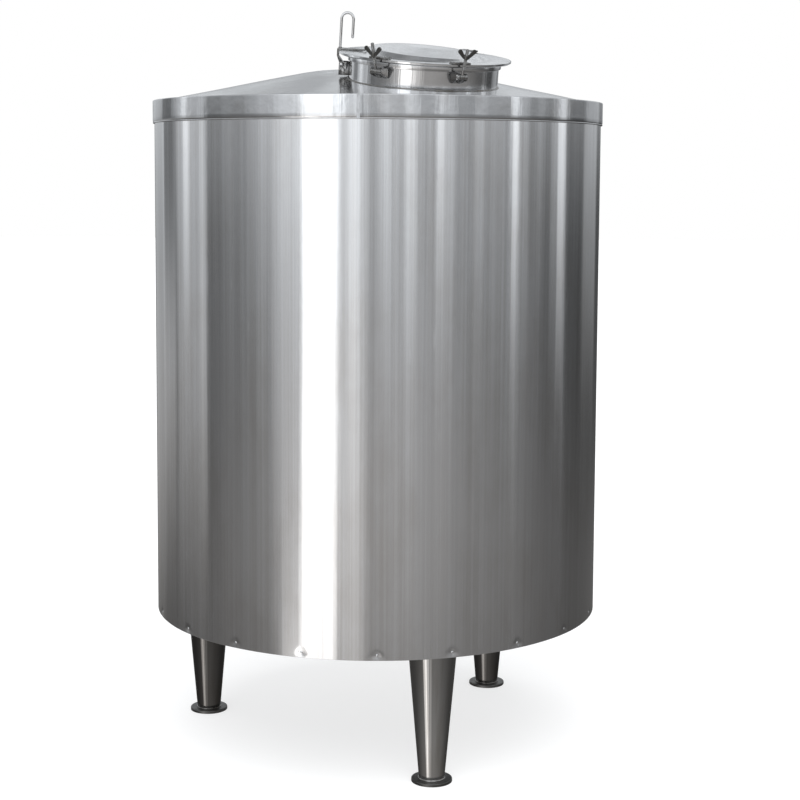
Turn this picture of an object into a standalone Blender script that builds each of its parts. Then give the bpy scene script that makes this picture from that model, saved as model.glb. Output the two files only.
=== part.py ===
"""An insulated stainless steel tank on three legs, with a tilted round manway near the front of its roof.

Metres, +Z up. The origin is on the floor under the tank's axis, and the manway is towards -Y.
"""

from math import cos, pi, radians, sin

import bmesh
import bpy
from mathutils import Matrix, Vector

GAP = 0.0003  # between pieces that touch
PAST = 0.020  # how far a cutter reaches past what it cuts

# Tank
SHELL_R = 0.700
JACKET_Z = 0.405  # the jacket's lower edge above the floor
RIM_Z = 2.000  # top of the band round the jacket
JACKET_T = 0.003
WALL_R = 0.650  # outside of the inner vessel
WALL_T = 0.004
SHEET_T = 0.004
SHELL_STEPS = 72
QUARTERS = 4

# Band round the jacket's top
BAND_R = 0.7065
BAND_H = 0.0665
BAND_LIP_R = 0.688
BAND_LIP_T = 0.0015

# Roof: a low cone with a flat disc in its middle
ROOF_SLOPE = 0.209
ROOF_FLAT_R = 0.216
ROOF_EDGE_R = 0.7022
ROOF_EDGE_Z = RIM_Z - BAND_LIP_T - GAP  # top of the roof sheet at its edge

# Bottom: a shallow cone that drains to the outlet, and a flat cover under it
BOTTOM_EDGE_Z = 0.490
BOTTOM_SLOPE = 0.080
COVER_Z = 0.412
COVER_T = 0.003

# Outlet in the middle of the bottom
OUTLET_R = 0.0255
OUTLET_T = 0.003
OUTLET_END_Z = 0.330
FERRULE_R = 0.032
FERRULE_T = 0.006
FERRULE_BEVEL = 0.002
OUTLET_STEPS = 24

# Legs
LEG_COUNT = 3
LEG_TURN = radians(-2.5)  # of the first leg from the front
LEG_CIRCLE_R = 0.5707
LEG_FOOT_R = 0.038  # where the leg meets its foot plate
LEG_TAPER = 0.0871  # radius gained for each metre of height
LEG_CUT_Z = 0.520  # the leg is drawn up to here and cut to the bottom's cone
LEG_STEPS = 32
FOOT_R = 0.0605
FOOT_T = 0.010
FOOT_ROUND = 0.003

# Manway, in its own frame: its origin on the roof, +Z along its axis, -Y towards the tank's front
MANWAY_R = 0.3985  # from the tank's axis to the manway's
MANWAY_TILT = radians(9.4)
NECK_R = 0.219
NECK_T = 0.004
NECK_LOW = -0.035
NECK_TOP = 0.060
COLLAR_R = 0.2245
COLLAR_LOW = 0.043
MANWAY_STEPS = 60

# Lid
LID_R = 0.2528
LID_TOP = 0.068
LID_T = 0.003
LID_RIM_T = 0.0043
LID_RIM_LOW = 0.054
LID_RIM_ROUND = 0.0025
LID_RIM_CURL = 0.012  # radius with which the rim turns in under the lid
DOME_R = 0.157
DOME_STEP = 0.014  # width of the slope up to the raised middle
DOME_H = 0.021
GASKET_IN_R = 0.206
GASKET_OUT_R = 0.2255

# Hinge: two ears on the neck, and a strap that comes down over the lid's rim to the pin between them
HINGE_TURN = radians(-115)
HINGE_R = 0.2425
HINGE_H = 0.027
HINGE_PIN_R = 0.004
HINGE_PIN_HALF = 0.022
HINGE_BORE_R = 0.0044
HINGE_EAR_R = 0.0075
HINGE_EAR_T = 0.005
HINGE_EAR_IN = 0.011  # half the gap between the two ears
HINGE_PAD_T = 0.004
HINGE_FOOT = -0.005
STRAP_HALF = 0.010
STRAP_T = 0.005
STRAP_EYE_R = 0.008
STRAP_END_R = 0.175
STRAP_ROUND = 0.004
STRAP_TURN_H = 0.050  # below this the strap leans in under the rim

# J-shaped rod that stands on the lid's hinge strap
ROD_R = 0.004
ROD_BASE_R = 0.2505
ROD_BEND_R = 0.0175
ROD_BEND_H = 0.1575
ROD_TIP_H = 0.102
ROD_BEND_STEPS = 12

# Swing-bolt clamps: the front bolts are slack and lean out of their forks, and the rear ones are swung open
SLACK_LEAN = radians(18.5)
OPEN_LEAN = radians(76)
CLAMPS = [  # each one's place round the neck, its bolt's lean and its nut's height on the bolt
    (radians(-52), SLACK_LEAN, 0.046),
    (radians(3), SLACK_LEAN, 0.056),
    (radians(127), OPEN_LEAN, 0.050),
    (radians(-178), OPEN_LEAN, 0.050),
]
PIVOT_R = 0.262
PIVOT_H = 0.034
PIVOT_PIN_R = 0.004
PIVOT_PIN_HALF = 0.017
PIVOT_BORE_R = 0.0044
EAR_R = 0.010
EAR_T = 0.006
EAR_IN = 0.008  # half the gap between the two ears
EAR_PAD_T = 0.004
EAR_LOW = 0.013
EAR_FOOT = 0.012  # how far the ears' lower edge runs out before it rises to the pivot
EAR_DROP = 0.004  # the ears' upper edge meets the neck this far below the collar
EYE_R = 0.009
EYE_HALF = 0.007
BOLT_R = 0.005
BOLT_END = 0.084
BOLT_CHAMFER = 0.001
NUT_H = 0.011
NUT_R = 0.0085
NUT_TOP_R = 0.007
NUT_BORE_R = BOLT_R + GAP
WING_SPAN = 0.028
WING_T = 0.005
WING_RISE = 0.015  # from the nut's underside to the wing's tip
WING_TIP_R = 0.0065
WING_ROOT = 0.001  # how far the wing's root overlaps the hub
FORK_HALF = 0.025
FORK_T = 0.006
FORK_IN_R = 0.228
FORK_OUT_R = 0.263
SLOT_HALF = 0.010
SMALL_STEPS = 16
ARC_STEPS = 8


def clear_scene():
    for old in list(bpy.data.objects):
        bpy.data.objects.remove(old)


def finish(name, colour, roughness, metallic=1.0):
    """A plain Principled material."""
    made = bpy.data.materials.new(name)
    made.use_nodes = True
    shader = made.node_tree.nodes["Principled BSDF"]
    shader.inputs["Base Color"].default_value = (*colour, 1.0)
    shader.inputs["Roughness"].default_value = roughness
    shader.inputs["Metallic"].default_value = metallic
    return made


def add(name, data, material, parent=None, location=(0, 0, 0), turn=(0, 0, 0)):
    made = bpy.data.objects.new(name, data)
    bpy.context.scene.collection.objects.link(made)
    made.parent = parent
    made.location = location
    made.rotation_euler = turn
    if material:
        data.materials.append(material)
    return made


def frame(name, parent=None, location=(0, 0, 0), turn=(0, 0, 0)):
    """An empty that carries other objects."""
    return add(name, None, None, parent, location, turn)


def helper(made):
    """Marks an object as a cutter or a piece that a Boolean joins to another."""
    made.hide_render = True
    made.display_type = "WIRE"
    return made


def smooth(mesh):
    mesh.shade_smooth()
    mesh.set_sharp_from_angle(angle=radians(30))


def boolean(made, other, operation):
    modifier = made.modifiers.new(f"{operation} {other.name}", "BOOLEAN")
    modifier.operation = operation
    modifier.object = other


def arc(centre, radius, start, end, steps):
    """Points of an arc in a plane, its ends included; the angles are in degrees."""
    angles = [radians(start + (end - start) * i / steps) for i in range(steps + 1)]
    return [(centre[0] + radius * cos(a), centre[1] + radius * sin(a)) for a in angles]


def turned(name, profile, steps, material, parent=None, location=(0, 0, 0), turn=(0, 0, 0)):
    """A profile of (radius, height) points turned about Z. It runs down the outer side.

    A profile that starts and ends on the axis stays open, and any other is closed to a ring.
    """
    mesh = bpy.data.meshes.new(name)
    count = len(profile)
    edges = [(i, i + 1) for i in range(count - 1)]
    if profile[0][0] > 0:
        edges.append((count - 1, 0))
    mesh.from_pydata([(r, 0, h) for r, h in profile], edges, [])
    made = add(name, mesh, material, parent, location, turn)
    screw = made.modifiers.new("Turn", "SCREW")
    screw.angle = 2 * pi
    screw.steps = steps
    screw.render_steps = steps
    screw.use_merge_vertices = True
    screw.merge_threshold = 0.00001
    screw.use_smooth_shade = True
    return made


def ring_profile(inner, outer, low, high):
    return [(outer, high), (outer, low), (inner, low), (inner, high)]


def sector(name, profile, start, angle, steps, material):
    """A closed profile of (radius, height) points swept through part of a turn about Z."""
    bm = bmesh.new()
    at = Matrix.Rotation(start, 4, "Z")
    face = bm.faces.new([bm.verts.new(at @ Vector((r, 0, h))) for r, h in profile])
    bmesh.ops.spin(
        bm,
        geom=[face, *face.edges, *face.verts],
        cent=(0, 0, 0),
        axis=(0, 0, 1),
        angle=angle,
        steps=steps,
    )
    bmesh.ops.recalc_face_normals(bm, faces=bm.faces)
    mesh = bpy.data.meshes.new(name)
    bm.to_mesh(mesh)
    bm.free()
    smooth(mesh)
    return add(name, mesh, material)


def extruded_mesh(name, outline, low, high, plane="XY"):
    """An outline pushed along its normal. In the YZ plane the outline's points are (outward, up)."""
    bm = bmesh.new()
    if plane == "XY":
        corners = [(x, y, low) for x, y in outline]
        push = (0, 0, high - low)
    elif plane == "XZ":
        corners = [(x, low, z) for x, z in outline]
        push = (0, high - low, 0)
    else:
        corners = [(low, -out, up) for out, up in outline]
        push = (high - low, 0, 0)
    face = bm.faces.new([bm.verts.new(corner) for corner in corners])
    pushed = bmesh.ops.extrude_face_region(bm, geom=[face])
    moved = [part for part in pushed["geom"] if isinstance(part, bmesh.types.BMVert)]
    bmesh.ops.translate(bm, verts=moved, vec=push)
    bmesh.ops.recalc_face_normals(bm, faces=bm.faces)
    mesh = bpy.data.meshes.new(name)
    bm.to_mesh(mesh)
    bm.free()
    return mesh


def roof_z(radius):
    """Height of the roof sheet's upper side at a distance from the tank's axis."""
    return ROOF_EDGE_Z + ROOF_SLOPE * (ROOF_EDGE_R - max(radius, ROOF_FLAT_R))


def bottom_z(radius):
    """Height of the vessel bottom's upper side at a distance from the tank's axis."""
    return BOTTOM_EDGE_Z - BOTTOM_SLOPE * (WALL_R - radius)


def build_walls(material):
    """Two round walls of four sheets each: the vessel's own and the jacket's."""
    for name, low, outer, thick in (
        ("jacket", JACKET_Z, SHELL_R, JACKET_T),
        ("vessel_wall", BOTTOM_EDGE_Z + GAP, WALL_R, WALL_T),
    ):
        inner = outer - thick
        profile = ring_profile(inner, outer, low, roof_z(outer) - SHEET_T - GAP)
        slit = GAP / inner
        sweep = 2 * pi / QUARTERS - slit
        for i in range(QUARTERS):
            start = i * 2 * pi / QUARTERS + slit / 2
            sector(f"{name}_{i + 1}", profile, start, sweep, SHELL_STEPS // QUARTERS, material)


def build_band(material):
    """The band lies against the jacket, and its lip lies on the roof's edge."""
    inner = SHELL_R + GAP
    low = RIM_Z - BAND_H
    edge = ROOF_EDGE_R + GAP
    under_edge = ROOF_EDGE_Z - SHEET_T - GAP
    lip_under = roof_z(BAND_LIP_R) + GAP
    profile = [
        (BAND_R, RIM_Z),
        (BAND_R, low),
        (inner, low),
        (inner, under_edge),
        (edge, under_edge),
        (edge, ROOF_EDGE_Z + GAP),
        (BAND_LIP_R, lip_under),
        (BAND_LIP_R, lip_under + BAND_LIP_T),
    ]
    turned("rim_band", profile, SHELL_STEPS, material)


def build_roof(material, manway):
    """The cone and its flat middle, both cut by the manway's hole."""
    bore = NECK_R + GAP
    reach = -NECK_LOW + NECK_TOP
    hole_profile = [(0, reach), (bore, reach), (bore, -reach), (0, -reach)]
    hole = helper(turned("manway_hole", hole_profile, MANWAY_STEPS, None, manway))
    top = roof_z(ROOF_FLAT_R)
    cone = [
        (ROOF_FLAT_R, top),
        (ROOF_EDGE_R, ROOF_EDGE_Z),
        (ROOF_EDGE_R, ROOF_EDGE_Z - SHEET_T),
        (ROOF_FLAT_R, top - SHEET_T),
    ]
    disc_r = ROOF_FLAT_R - GAP
    disc = [(0, top), (disc_r, top), (disc_r, top - SHEET_T), (0, top - SHEET_T)]
    for name, profile in (("roof", cone), ("roof_middle", disc)):
        boolean(turned(name, profile, SHELL_STEPS, material), hole, "DIFFERENCE")


def leg_places():
    turns = [LEG_TURN + i * 2 * pi / LEG_COUNT for i in range(LEG_COUNT)]
    return [(LEG_CIRCLE_R * sin(a), -LEG_CIRCLE_R * cos(a), 0) for a in turns]


def leg_radius(height):
    return LEG_FOOT_R + LEG_TAPER * (height - FOOT_T)


def build_bottom(material):
    """The draining cone, the flat cover under it and the outlet stub through both."""
    hole_r = OUTLET_R + GAP
    cone = [
        (WALL_R, BOTTOM_EDGE_Z),
        (WALL_R, BOTTOM_EDGE_Z - SHEET_T),
        (hole_r, bottom_z(hole_r) - SHEET_T),
        (hole_r, bottom_z(hole_r)),
    ]
    turned("vessel_bottom", cone, SHELL_STEPS, material)
    cover_r = SHELL_R - JACKET_T - GAP
    flat = ring_profile(hole_r, cover_r, COVER_Z, COVER_Z + COVER_T)
    cover = turned("bottom_cover", flat, SHELL_STEPS, material)
    above = COVER_Z + COVER_T + PAST
    below = COVER_Z - PAST
    hole_profile = [
        (0, above),
        (leg_radius(above) + GAP, above),
        (leg_radius(below) + GAP, below),
        (0, below),
    ]
    for i, place in enumerate(leg_places()):
        hole = turned(f"leg_hole_{i + 1}", hole_profile, LEG_STEPS, None, None, place)
        boolean(cover, helper(hole), "DIFFERENCE")
    pipe_in = OUTLET_R - OUTLET_T
    pipe_top = bottom_z(0) - GAP
    ferrule_top = OUTLET_END_Z + FERRULE_T
    stub = [
        (OUTLET_R, pipe_top),
        (OUTLET_R, ferrule_top),
        (FERRULE_R, ferrule_top - FERRULE_BEVEL),
        (FERRULE_R, OUTLET_END_Z),
        (pipe_in, OUTLET_END_Z),
        (pipe_in, pipe_top),
    ]
    turned("outlet_stub", stub, OUTLET_STEPS, material)


def build_legs(leg_material, foot_material):
    """Tapered legs up to the vessel's bottom, each on a round plate."""
    under = SHEET_T + GAP
    ceiling = [
        (0, LEG_CUT_Z + PAST),
        (SHELL_R, LEG_CUT_Z + PAST),
        (SHELL_R, bottom_z(SHELL_R) - under),
        (0, bottom_z(0) - under),
    ]
    above = helper(turned("above_the_bottom", ceiling, SHELL_STEPS, None))
    rounded = arc((FOOT_R - FOOT_ROUND, FOOT_T - FOOT_ROUND), FOOT_ROUND, 90, 0, 2)
    foot = [(0, FOOT_T), *rounded, (FOOT_R, 0), (0, 0)]
    low = FOOT_T + GAP
    leg = [(0, LEG_CUT_Z), (leg_radius(LEG_CUT_Z), LEG_CUT_Z), (leg_radius(low), low), (0, low)]
    for i, place in enumerate(leg_places()):
        made = turned(f"leg_{i + 1}", leg, LEG_STEPS, leg_material, None, place)
        boolean(made, above, "DIFFERENCE")
        turned(f"foot_plate_{i + 1}", foot, LEG_STEPS, foot_material, None, place)


def build_neck(material, manway):
    neck = ring_profile(NECK_R - NECK_T, NECK_R, NECK_LOW, NECK_TOP)
    turned("manway_neck", neck, MANWAY_STEPS, material, manway)
    collar = ring_profile(NECK_R + GAP, COLLAR_R, COLLAR_LOW, NECK_TOP)
    turned("neck_collar", collar, MANWAY_STEPS, material, manway)


def cross_pin(name, radius, half, place, material, base):
    """A round bar along the base's X axis; its place is (distance out, height)."""
    out, up = place
    profile = [(0, half), (radius, half), (radius, -half), (0, -half)]
    return turned(name, profile, SMALL_STEPS, material, base, (0, -out, up), (0, pi / 2, 0))


def ears_on_neck(name, half_gap, thick, pad_thick, side_view, material, base):
    """Two ears joined by a pad on the neck: a U seen from above, trimmed to a side view."""
    near = NECK_R + GAP
    pad = near + pad_thick
    half = half_gap + thick
    out = max(point[0] for point in side_view) + PAST
    top_view = [
        (-half, -near),
        (-half, -out),
        (-half_gap, -out),
        (-half_gap, -pad),
        (half_gap, -pad),
        (half_gap, -out),
        (half, -out),
        (half, -near),
    ]
    low = min(point[1] for point in side_view) - PAST
    high = max(point[1] for point in side_view) + PAST
    made = add(name, extruded_mesh(name, top_view, low, high), material, base)
    side_name = f"{name}_side"
    side_mesh = extruded_mesh(side_name, side_view, -half - PAST, half + PAST, "YZ")
    boolean(made, helper(add(side_name, side_mesh, None, base)), "INTERSECT")
    return made


def build_hinge_bracket(material, pin_material, manway):
    """The hinge's ears, and the pin through them."""
    base = frame("hinge_frame", manway, turn=(0, 0, HINGE_TURN))
    behind = NECK_R - PAST
    side_view = [
        (behind, HINGE_FOOT),
        (HINGE_R + HINGE_EAR_R, HINGE_FOOT),
        *arc((HINGE_R, HINGE_H), HINGE_EAR_R, 0, 90, ARC_STEPS),
        (behind, HINGE_H + HINGE_EAR_R),
    ]
    made = ears_on_neck("hinge_bracket", HINGE_EAR_IN, HINGE_EAR_T, HINGE_PAD_T, side_view, material, base)
    place = (HINGE_R, HINGE_H)
    hole = cross_pin("hinge_pin_hole", HINGE_PIN_R + GAP, HINGE_PIN_HALF + PAST, place, None, base)
    boolean(made, helper(hole), "DIFFERENCE")
    cross_pin("hinge_pin", HINGE_PIN_R, HINGE_PIN_HALF, place, pin_material, base)


def build_clamp_ears(number, turn, material, manway):
    """A clamp's ears, with the pivot pin fixed in them."""
    base = frame(f"clamp_base_{number}", manway, turn=(0, 0, turn))
    behind = NECK_R - PAST
    side_view = [
        (behind, EAR_LOW),
        (NECK_R + EAR_FOOT, EAR_LOW),
        *arc((PIVOT_R, PIVOT_H), EAR_R, -70, 110, ARC_STEPS),
        (behind, COLLAR_LOW - EAR_DROP),
    ]
    made = ears_on_neck(f"clamp_ears_{number}", EAR_IN, EAR_T, EAR_PAD_T, side_view, material, base)
    pin = cross_pin(f"pivot_pin_{number}", PIVOT_PIN_R, PIVOT_PIN_HALF, (PIVOT_R, PIVOT_H), None, base)
    boolean(made, helper(pin), "UNION")


def wing_outline(side, nut_low):
    """A wing of the nut, on the side -1 or 1: a flat ear that rises to a round tip."""
    root = NUT_BORE_R + WING_ROOT
    low = nut_low + WING_ROOT
    tip = arc((WING_SPAN - WING_TIP_R, nut_low + WING_RISE + WING_TIP_R), WING_TIP_R, -30, 150, ARC_STEPS)
    points = [(root, low), (NUT_R + WING_ROOT, low), *tip, (root, nut_low + NUT_H - WING_ROOT)]
    return [(side * x, z) for x, z in points]


def build_swing_bolt(number, clamp, bolt_material, nut_material, manway):
    """A bolt with an eye round the pivot pin, leaning outwards, and its wing nut."""
    turn, lean, nut_low = clamp
    pivot = (PIVOT_R * sin(turn), -PIVOT_R * cos(turn), PIVOT_H)
    base = frame(f"clamp_pivot_{number}", manway, pivot, (lean, 0, turn))
    start = (PIVOT_BORE_R + EYE_R) / 2
    shank = [
        (0, BOLT_END),
        (BOLT_R - BOLT_CHAMFER, BOLT_END),
        (BOLT_R, BOLT_END - BOLT_CHAMFER),
        (BOLT_R, start),
        (0, start),
    ]
    made = turned(f"swing_bolt_{number}", shank, SMALL_STEPS, bolt_material, base)
    ring = ring_profile(PIVOT_BORE_R, EYE_R, -EYE_HALF, EYE_HALF)
    eye = turned(f"eye_{number}", ring, SMALL_STEPS, None, base, turn=(0, pi / 2, 0))
    boolean(made, helper(eye), "UNION")
    top = nut_low + NUT_H
    hub = [(NUT_TOP_R, top), (NUT_R, nut_low), (NUT_BORE_R, nut_low), (NUT_BORE_R, top)]
    nut = turned(f"wing_nut_{number}", hub, SMALL_STEPS, nut_material, base)
    for side, word in ((-1, "left"), (1, "right")):
        name = f"wing_{number}_{word}"
        mesh = extruded_mesh(name, wing_outline(side, nut_low), -WING_T / 2, WING_T / 2, "XZ")
        boolean(nut, helper(add(name, mesh, None, base)), "UNION")


def build_lid(steel, rubber, lid_base):
    """A pressed plate with a raised middle, its curled rim and the gasket under it."""
    under = LID_TOP - LID_T
    plate_r = LID_R - LID_RIM_T - GAP
    step_r = DOME_R + DOME_STEP
    plate = [
        (0, LID_TOP + DOME_H),
        (DOME_R, LID_TOP + DOME_H),
        (step_r, LID_TOP),
        (plate_r, LID_TOP),
        (plate_r, under),
        (step_r - LID_T / 2, under),
        (DOME_R - LID_T / 2, under + DOME_H),
        (0, under + DOME_H),
    ]
    turned("lid_plate", plate, MANWAY_STEPS, steel, lid_base)
    curl = (LID_R - LID_RIM_CURL, LID_RIM_LOW + LID_RIM_CURL)
    rim = [
        *arc((LID_R - LID_RIM_ROUND, LID_TOP - LID_RIM_ROUND), LID_RIM_ROUND, 90, 0, 3),
        *arc(curl, LID_RIM_CURL, 0, -90, 6),
        *arc(curl, LID_RIM_CURL - LID_RIM_T, -90, 0, 4),
        (LID_R - LID_RIM_T, LID_TOP),
    ]
    turned("lid_rim", rim, MANWAY_STEPS, steel, lid_base)
    gasket = ring_profile(GASKET_IN_R, GASKET_OUT_R, NECK_TOP + GAP, under - GAP)
    turned("lid_gasket", gasket, MANWAY_STEPS, rubber, lid_base)


def build_hinge_strap(material, strap_base):
    """A flat bar on the lid that bends down over the rim to an eye round the hinge pin."""
    low = LID_TOP + GAP
    high = low + STRAP_T
    inner = LID_R + GAP
    outer = inner + STRAP_T
    side_view = [
        (STRAP_END_R, high),
        (STRAP_END_R, low),
        (inner, low),
        (inner, STRAP_TURN_H),
        *arc((HINGE_R, HINGE_H), STRAP_EYE_R, 100, 380, 2 * ARC_STEPS),
        (outer, STRAP_TURN_H),
        *arc((outer - STRAP_ROUND, high - STRAP_ROUND), STRAP_ROUND, 0, 90, ARC_STEPS // 2),
    ]
    mesh = extruded_mesh("hinge_strap", side_view, -STRAP_HALF, STRAP_HALF, "YZ")
    made = add("hinge_strap", mesh, material, strap_base)
    bore = cross_pin("strap_bore", HINGE_BORE_R, STRAP_HALF + PAST, (HINGE_R, HINGE_H), None, strap_base)
    boolean(made, helper(bore), "DIFFERENCE")


def build_rod(material, strap_base):
    """The J-shaped rod: a leg up from the strap, a half turn towards the lid's middle and a short limb."""
    bend = arc((ROD_BASE_R - ROD_BEND_R, ROD_BEND_H), ROD_BEND_R, 0, 180, ROD_BEND_STEPS)
    foot = (ROD_BASE_R, LID_TOP + STRAP_T + 2 * GAP)
    route = [foot, *bend, (ROD_BASE_R - 2 * ROD_BEND_R, ROD_TIP_H)]
    curve = bpy.data.curves.new("lid_stay", "CURVE")
    curve.dimensions = "3D"
    curve.bevel_depth = ROD_R
    curve.bevel_resolution = 3
    curve.use_fill_caps = True
    spline = curve.splines.new("POLY")
    spline.points.add(len(route) - 1)
    for point, (out, up) in zip(spline.points, route):
        point.co = (0, -out, up, 1)
    add("lid_stay", curve, material, strap_base)


def build_fork(number, turn, material, lid_base):
    """A slotted plate on the lid's rim that takes the swing bolt."""
    base = frame(f"fork_frame_{number}", lid_base, turn=(0, 0, turn))
    slot = arc((0, -PIVOT_R), SLOT_HALF, 180, 0, ARC_STEPS)
    outline = [
        (-FORK_HALF, -FORK_IN_R),
        (-FORK_HALF, -FORK_OUT_R),
        (-SLOT_HALF, -FORK_OUT_R),
        *slot,
        (SLOT_HALF, -FORK_OUT_R),
        (FORK_HALF, -FORK_OUT_R),
        (FORK_HALF, -FORK_IN_R),
    ]
    low = LID_TOP + GAP
    name = f"lid_fork_{number}"
    add(name, extruded_mesh(name, outline, low, low + FORK_T), material, base)


def build_manway(brushed, polished, cast, rubber, manway):
    build_neck(polished, manway)
    build_hinge_bracket(brushed, polished, manway)
    hinge = Matrix.Rotation(HINGE_TURN, 4, "Z") @ Vector((0, -HINGE_R, HINGE_H))
    lid_hinge = frame("lid_hinge", manway, hinge)
    lid_base = frame("lid_frame", lid_hinge, -hinge)
    strap_base = frame("strap_frame", lid_base, turn=(0, 0, HINGE_TURN))
    build_lid(polished, rubber, lid_base)
    build_hinge_strap(brushed, strap_base)
    build_rod(polished, strap_base)
    for number, clamp in enumerate(CLAMPS, 1):
        build_clamp_ears(number, clamp[0], brushed, manway)
        build_fork(number, clamp[0], brushed, lid_base)
        build_swing_bolt(number, clamp, brushed, cast, manway)


def main():
    clear_scene()
    brushed = finish("brushed_steel", (0.62, 0.62, 0.62), 0.32)
    polished = finish("polished_steel", (0.72, 0.73, 0.74), 0.14)
    dull = finish("dull_steel", (0.45, 0.45, 0.46), 0.45)
    cast = finish("cast_steel", (0.30, 0.30, 0.31), 0.40)
    rubber = finish("gasket_rubber", (0.75, 0.74, 0.70), 0.60, 0.0)
    manway_at = (0, -MANWAY_R, roof_z(MANWAY_R))
    manway = frame("manway_frame", None, manway_at, (MANWAY_TILT, 0, 0))
    build_walls(brushed)
    build_band(polished)
    build_roof(dull, manway)
    build_bottom(dull)
    build_legs(brushed, cast)
    build_manway(brushed, polished, cast, rubber, manway)


main()
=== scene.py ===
"""The looks of a stainless steel tank on three legs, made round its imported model.

Metres, +Z up. Angles round the tank and round the manway run from the front, -Y, towards +X.
"""

from math import ceil, cos, exp, hypot, pi, radians, sin, sqrt, tau

import bmesh
import bpy
from bpy.props import FloatProperty, FloatVectorProperty, IntProperty, PointerProperty
from bpy.types import Operator, Panel, PropertyGroup
from mathutils import Matrix, Vector


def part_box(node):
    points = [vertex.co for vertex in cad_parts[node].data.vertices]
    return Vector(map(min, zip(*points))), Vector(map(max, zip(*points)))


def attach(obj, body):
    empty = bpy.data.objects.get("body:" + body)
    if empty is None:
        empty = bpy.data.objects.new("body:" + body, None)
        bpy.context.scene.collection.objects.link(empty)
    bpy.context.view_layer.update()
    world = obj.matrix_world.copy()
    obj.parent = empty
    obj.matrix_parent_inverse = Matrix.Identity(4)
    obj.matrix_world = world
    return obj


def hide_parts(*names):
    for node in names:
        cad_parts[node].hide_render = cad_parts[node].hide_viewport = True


bl_info = {
    "name": "Steel tank looks",
    "version": (1, 0, 0),
    "blender": (4, 5, 0),
    "location": "3D View > Sidebar > Tank",
    "description": "Builds the detailed surfaces, finishes and studio of a stainless steel tank",
    "category": "Object",
}

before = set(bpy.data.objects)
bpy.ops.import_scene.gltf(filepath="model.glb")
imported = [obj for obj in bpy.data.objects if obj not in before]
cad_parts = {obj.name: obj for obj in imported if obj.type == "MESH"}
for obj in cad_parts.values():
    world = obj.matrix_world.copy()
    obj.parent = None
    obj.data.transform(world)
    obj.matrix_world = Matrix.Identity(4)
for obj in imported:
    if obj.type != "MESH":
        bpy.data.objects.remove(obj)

GAP = 0.0003  # between pieces that touch
LEG_COUNT = 3
BAND_LOW, BAND_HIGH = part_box("rim_band")
JACKET_LOW, JACKET_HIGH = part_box("jacket_1")
WALL_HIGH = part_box("vessel_wall_1")[1]
ROOF_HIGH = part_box("roof")[1]
BOTTOM_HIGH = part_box("vessel_bottom")[1]
COVER_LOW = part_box("bottom_cover")[0]
OUTLET_LOW, OUTLET_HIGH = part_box("outlet_stub")
FOOT_LOW, FOOT_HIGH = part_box("foot_plate_1")


def length(name, description, default):
    """A property that holds a length in metres."""
    return FloatProperty(name=name, description=description, default=default, unit="LENGTH", precision=4)


def angle(name, description, degrees):
    """A property that holds an angle; its default is given in degrees."""
    turn = radians(degrees)
    return FloatProperty(name=name, description=description, default=turn, subtype="ANGLE", unit="ROTATION")


def share(name, description, default):
    """A property from 0 to 1."""
    kind = {"subtype": "FACTOR", "min": 0, "max": 1}
    return FloatProperty(name=name, description=description, default=default, **kind)


def plain(name, description, default):
    """A property that is a number without a unit."""
    return FloatProperty(name=name, description=description, default=default)


def count(name, description, default):
    """A property that is a whole number."""
    return IntProperty(name=name, description=description, default=default)


def colour(name, description, default):
    """A property that holds a colour."""
    kind = {"size": 3, "subtype": "COLOR", "min": 0, "max": 1}
    return FloatVectorProperty(name=name, description=description, default=default, **kind)


class Value:
    """A shader socket that takes part in Python expressions; each operator adds its Math node."""

    def __init__(self, shader, socket):
        self.shader = shader
        self.socket = socket

    def math(self, operation, first, second):
        return self.shader.node("ShaderNodeMath", {"operation": operation}, {0: first, 1: second})

    def __add__(self, other):
        return self.math("ADD", self, other)

    def __sub__(self, other):
        return self.math("SUBTRACT", self, other)

    def __rsub__(self, other):
        return self.math("SUBTRACT", other, self)

    def __mul__(self, other):
        return self.math("MULTIPLY", self, other)

    def __truediv__(self, other):
        return self.math("DIVIDE", self, other)

    def __rtruediv__(self, other):
        return self.math("DIVIDE", other, self)

    __radd__ = __add__
    __rmul__ = __mul__

    def at_least(self, least):
        return self.math("MAXIMUM", self, least)

    def smooth(self, low, high, start=0.0, end=1.0):
        """Runs smoothly from start to end as the value goes from low to high."""
        sockets = {"Value": self, "From Min": low, "From Max": high, "To Min": start, "To Max": end}
        return self.shader.node("ShaderNodeMapRange", {"interpolation_type": "SMOOTHSTEP"}, sockets)


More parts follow.
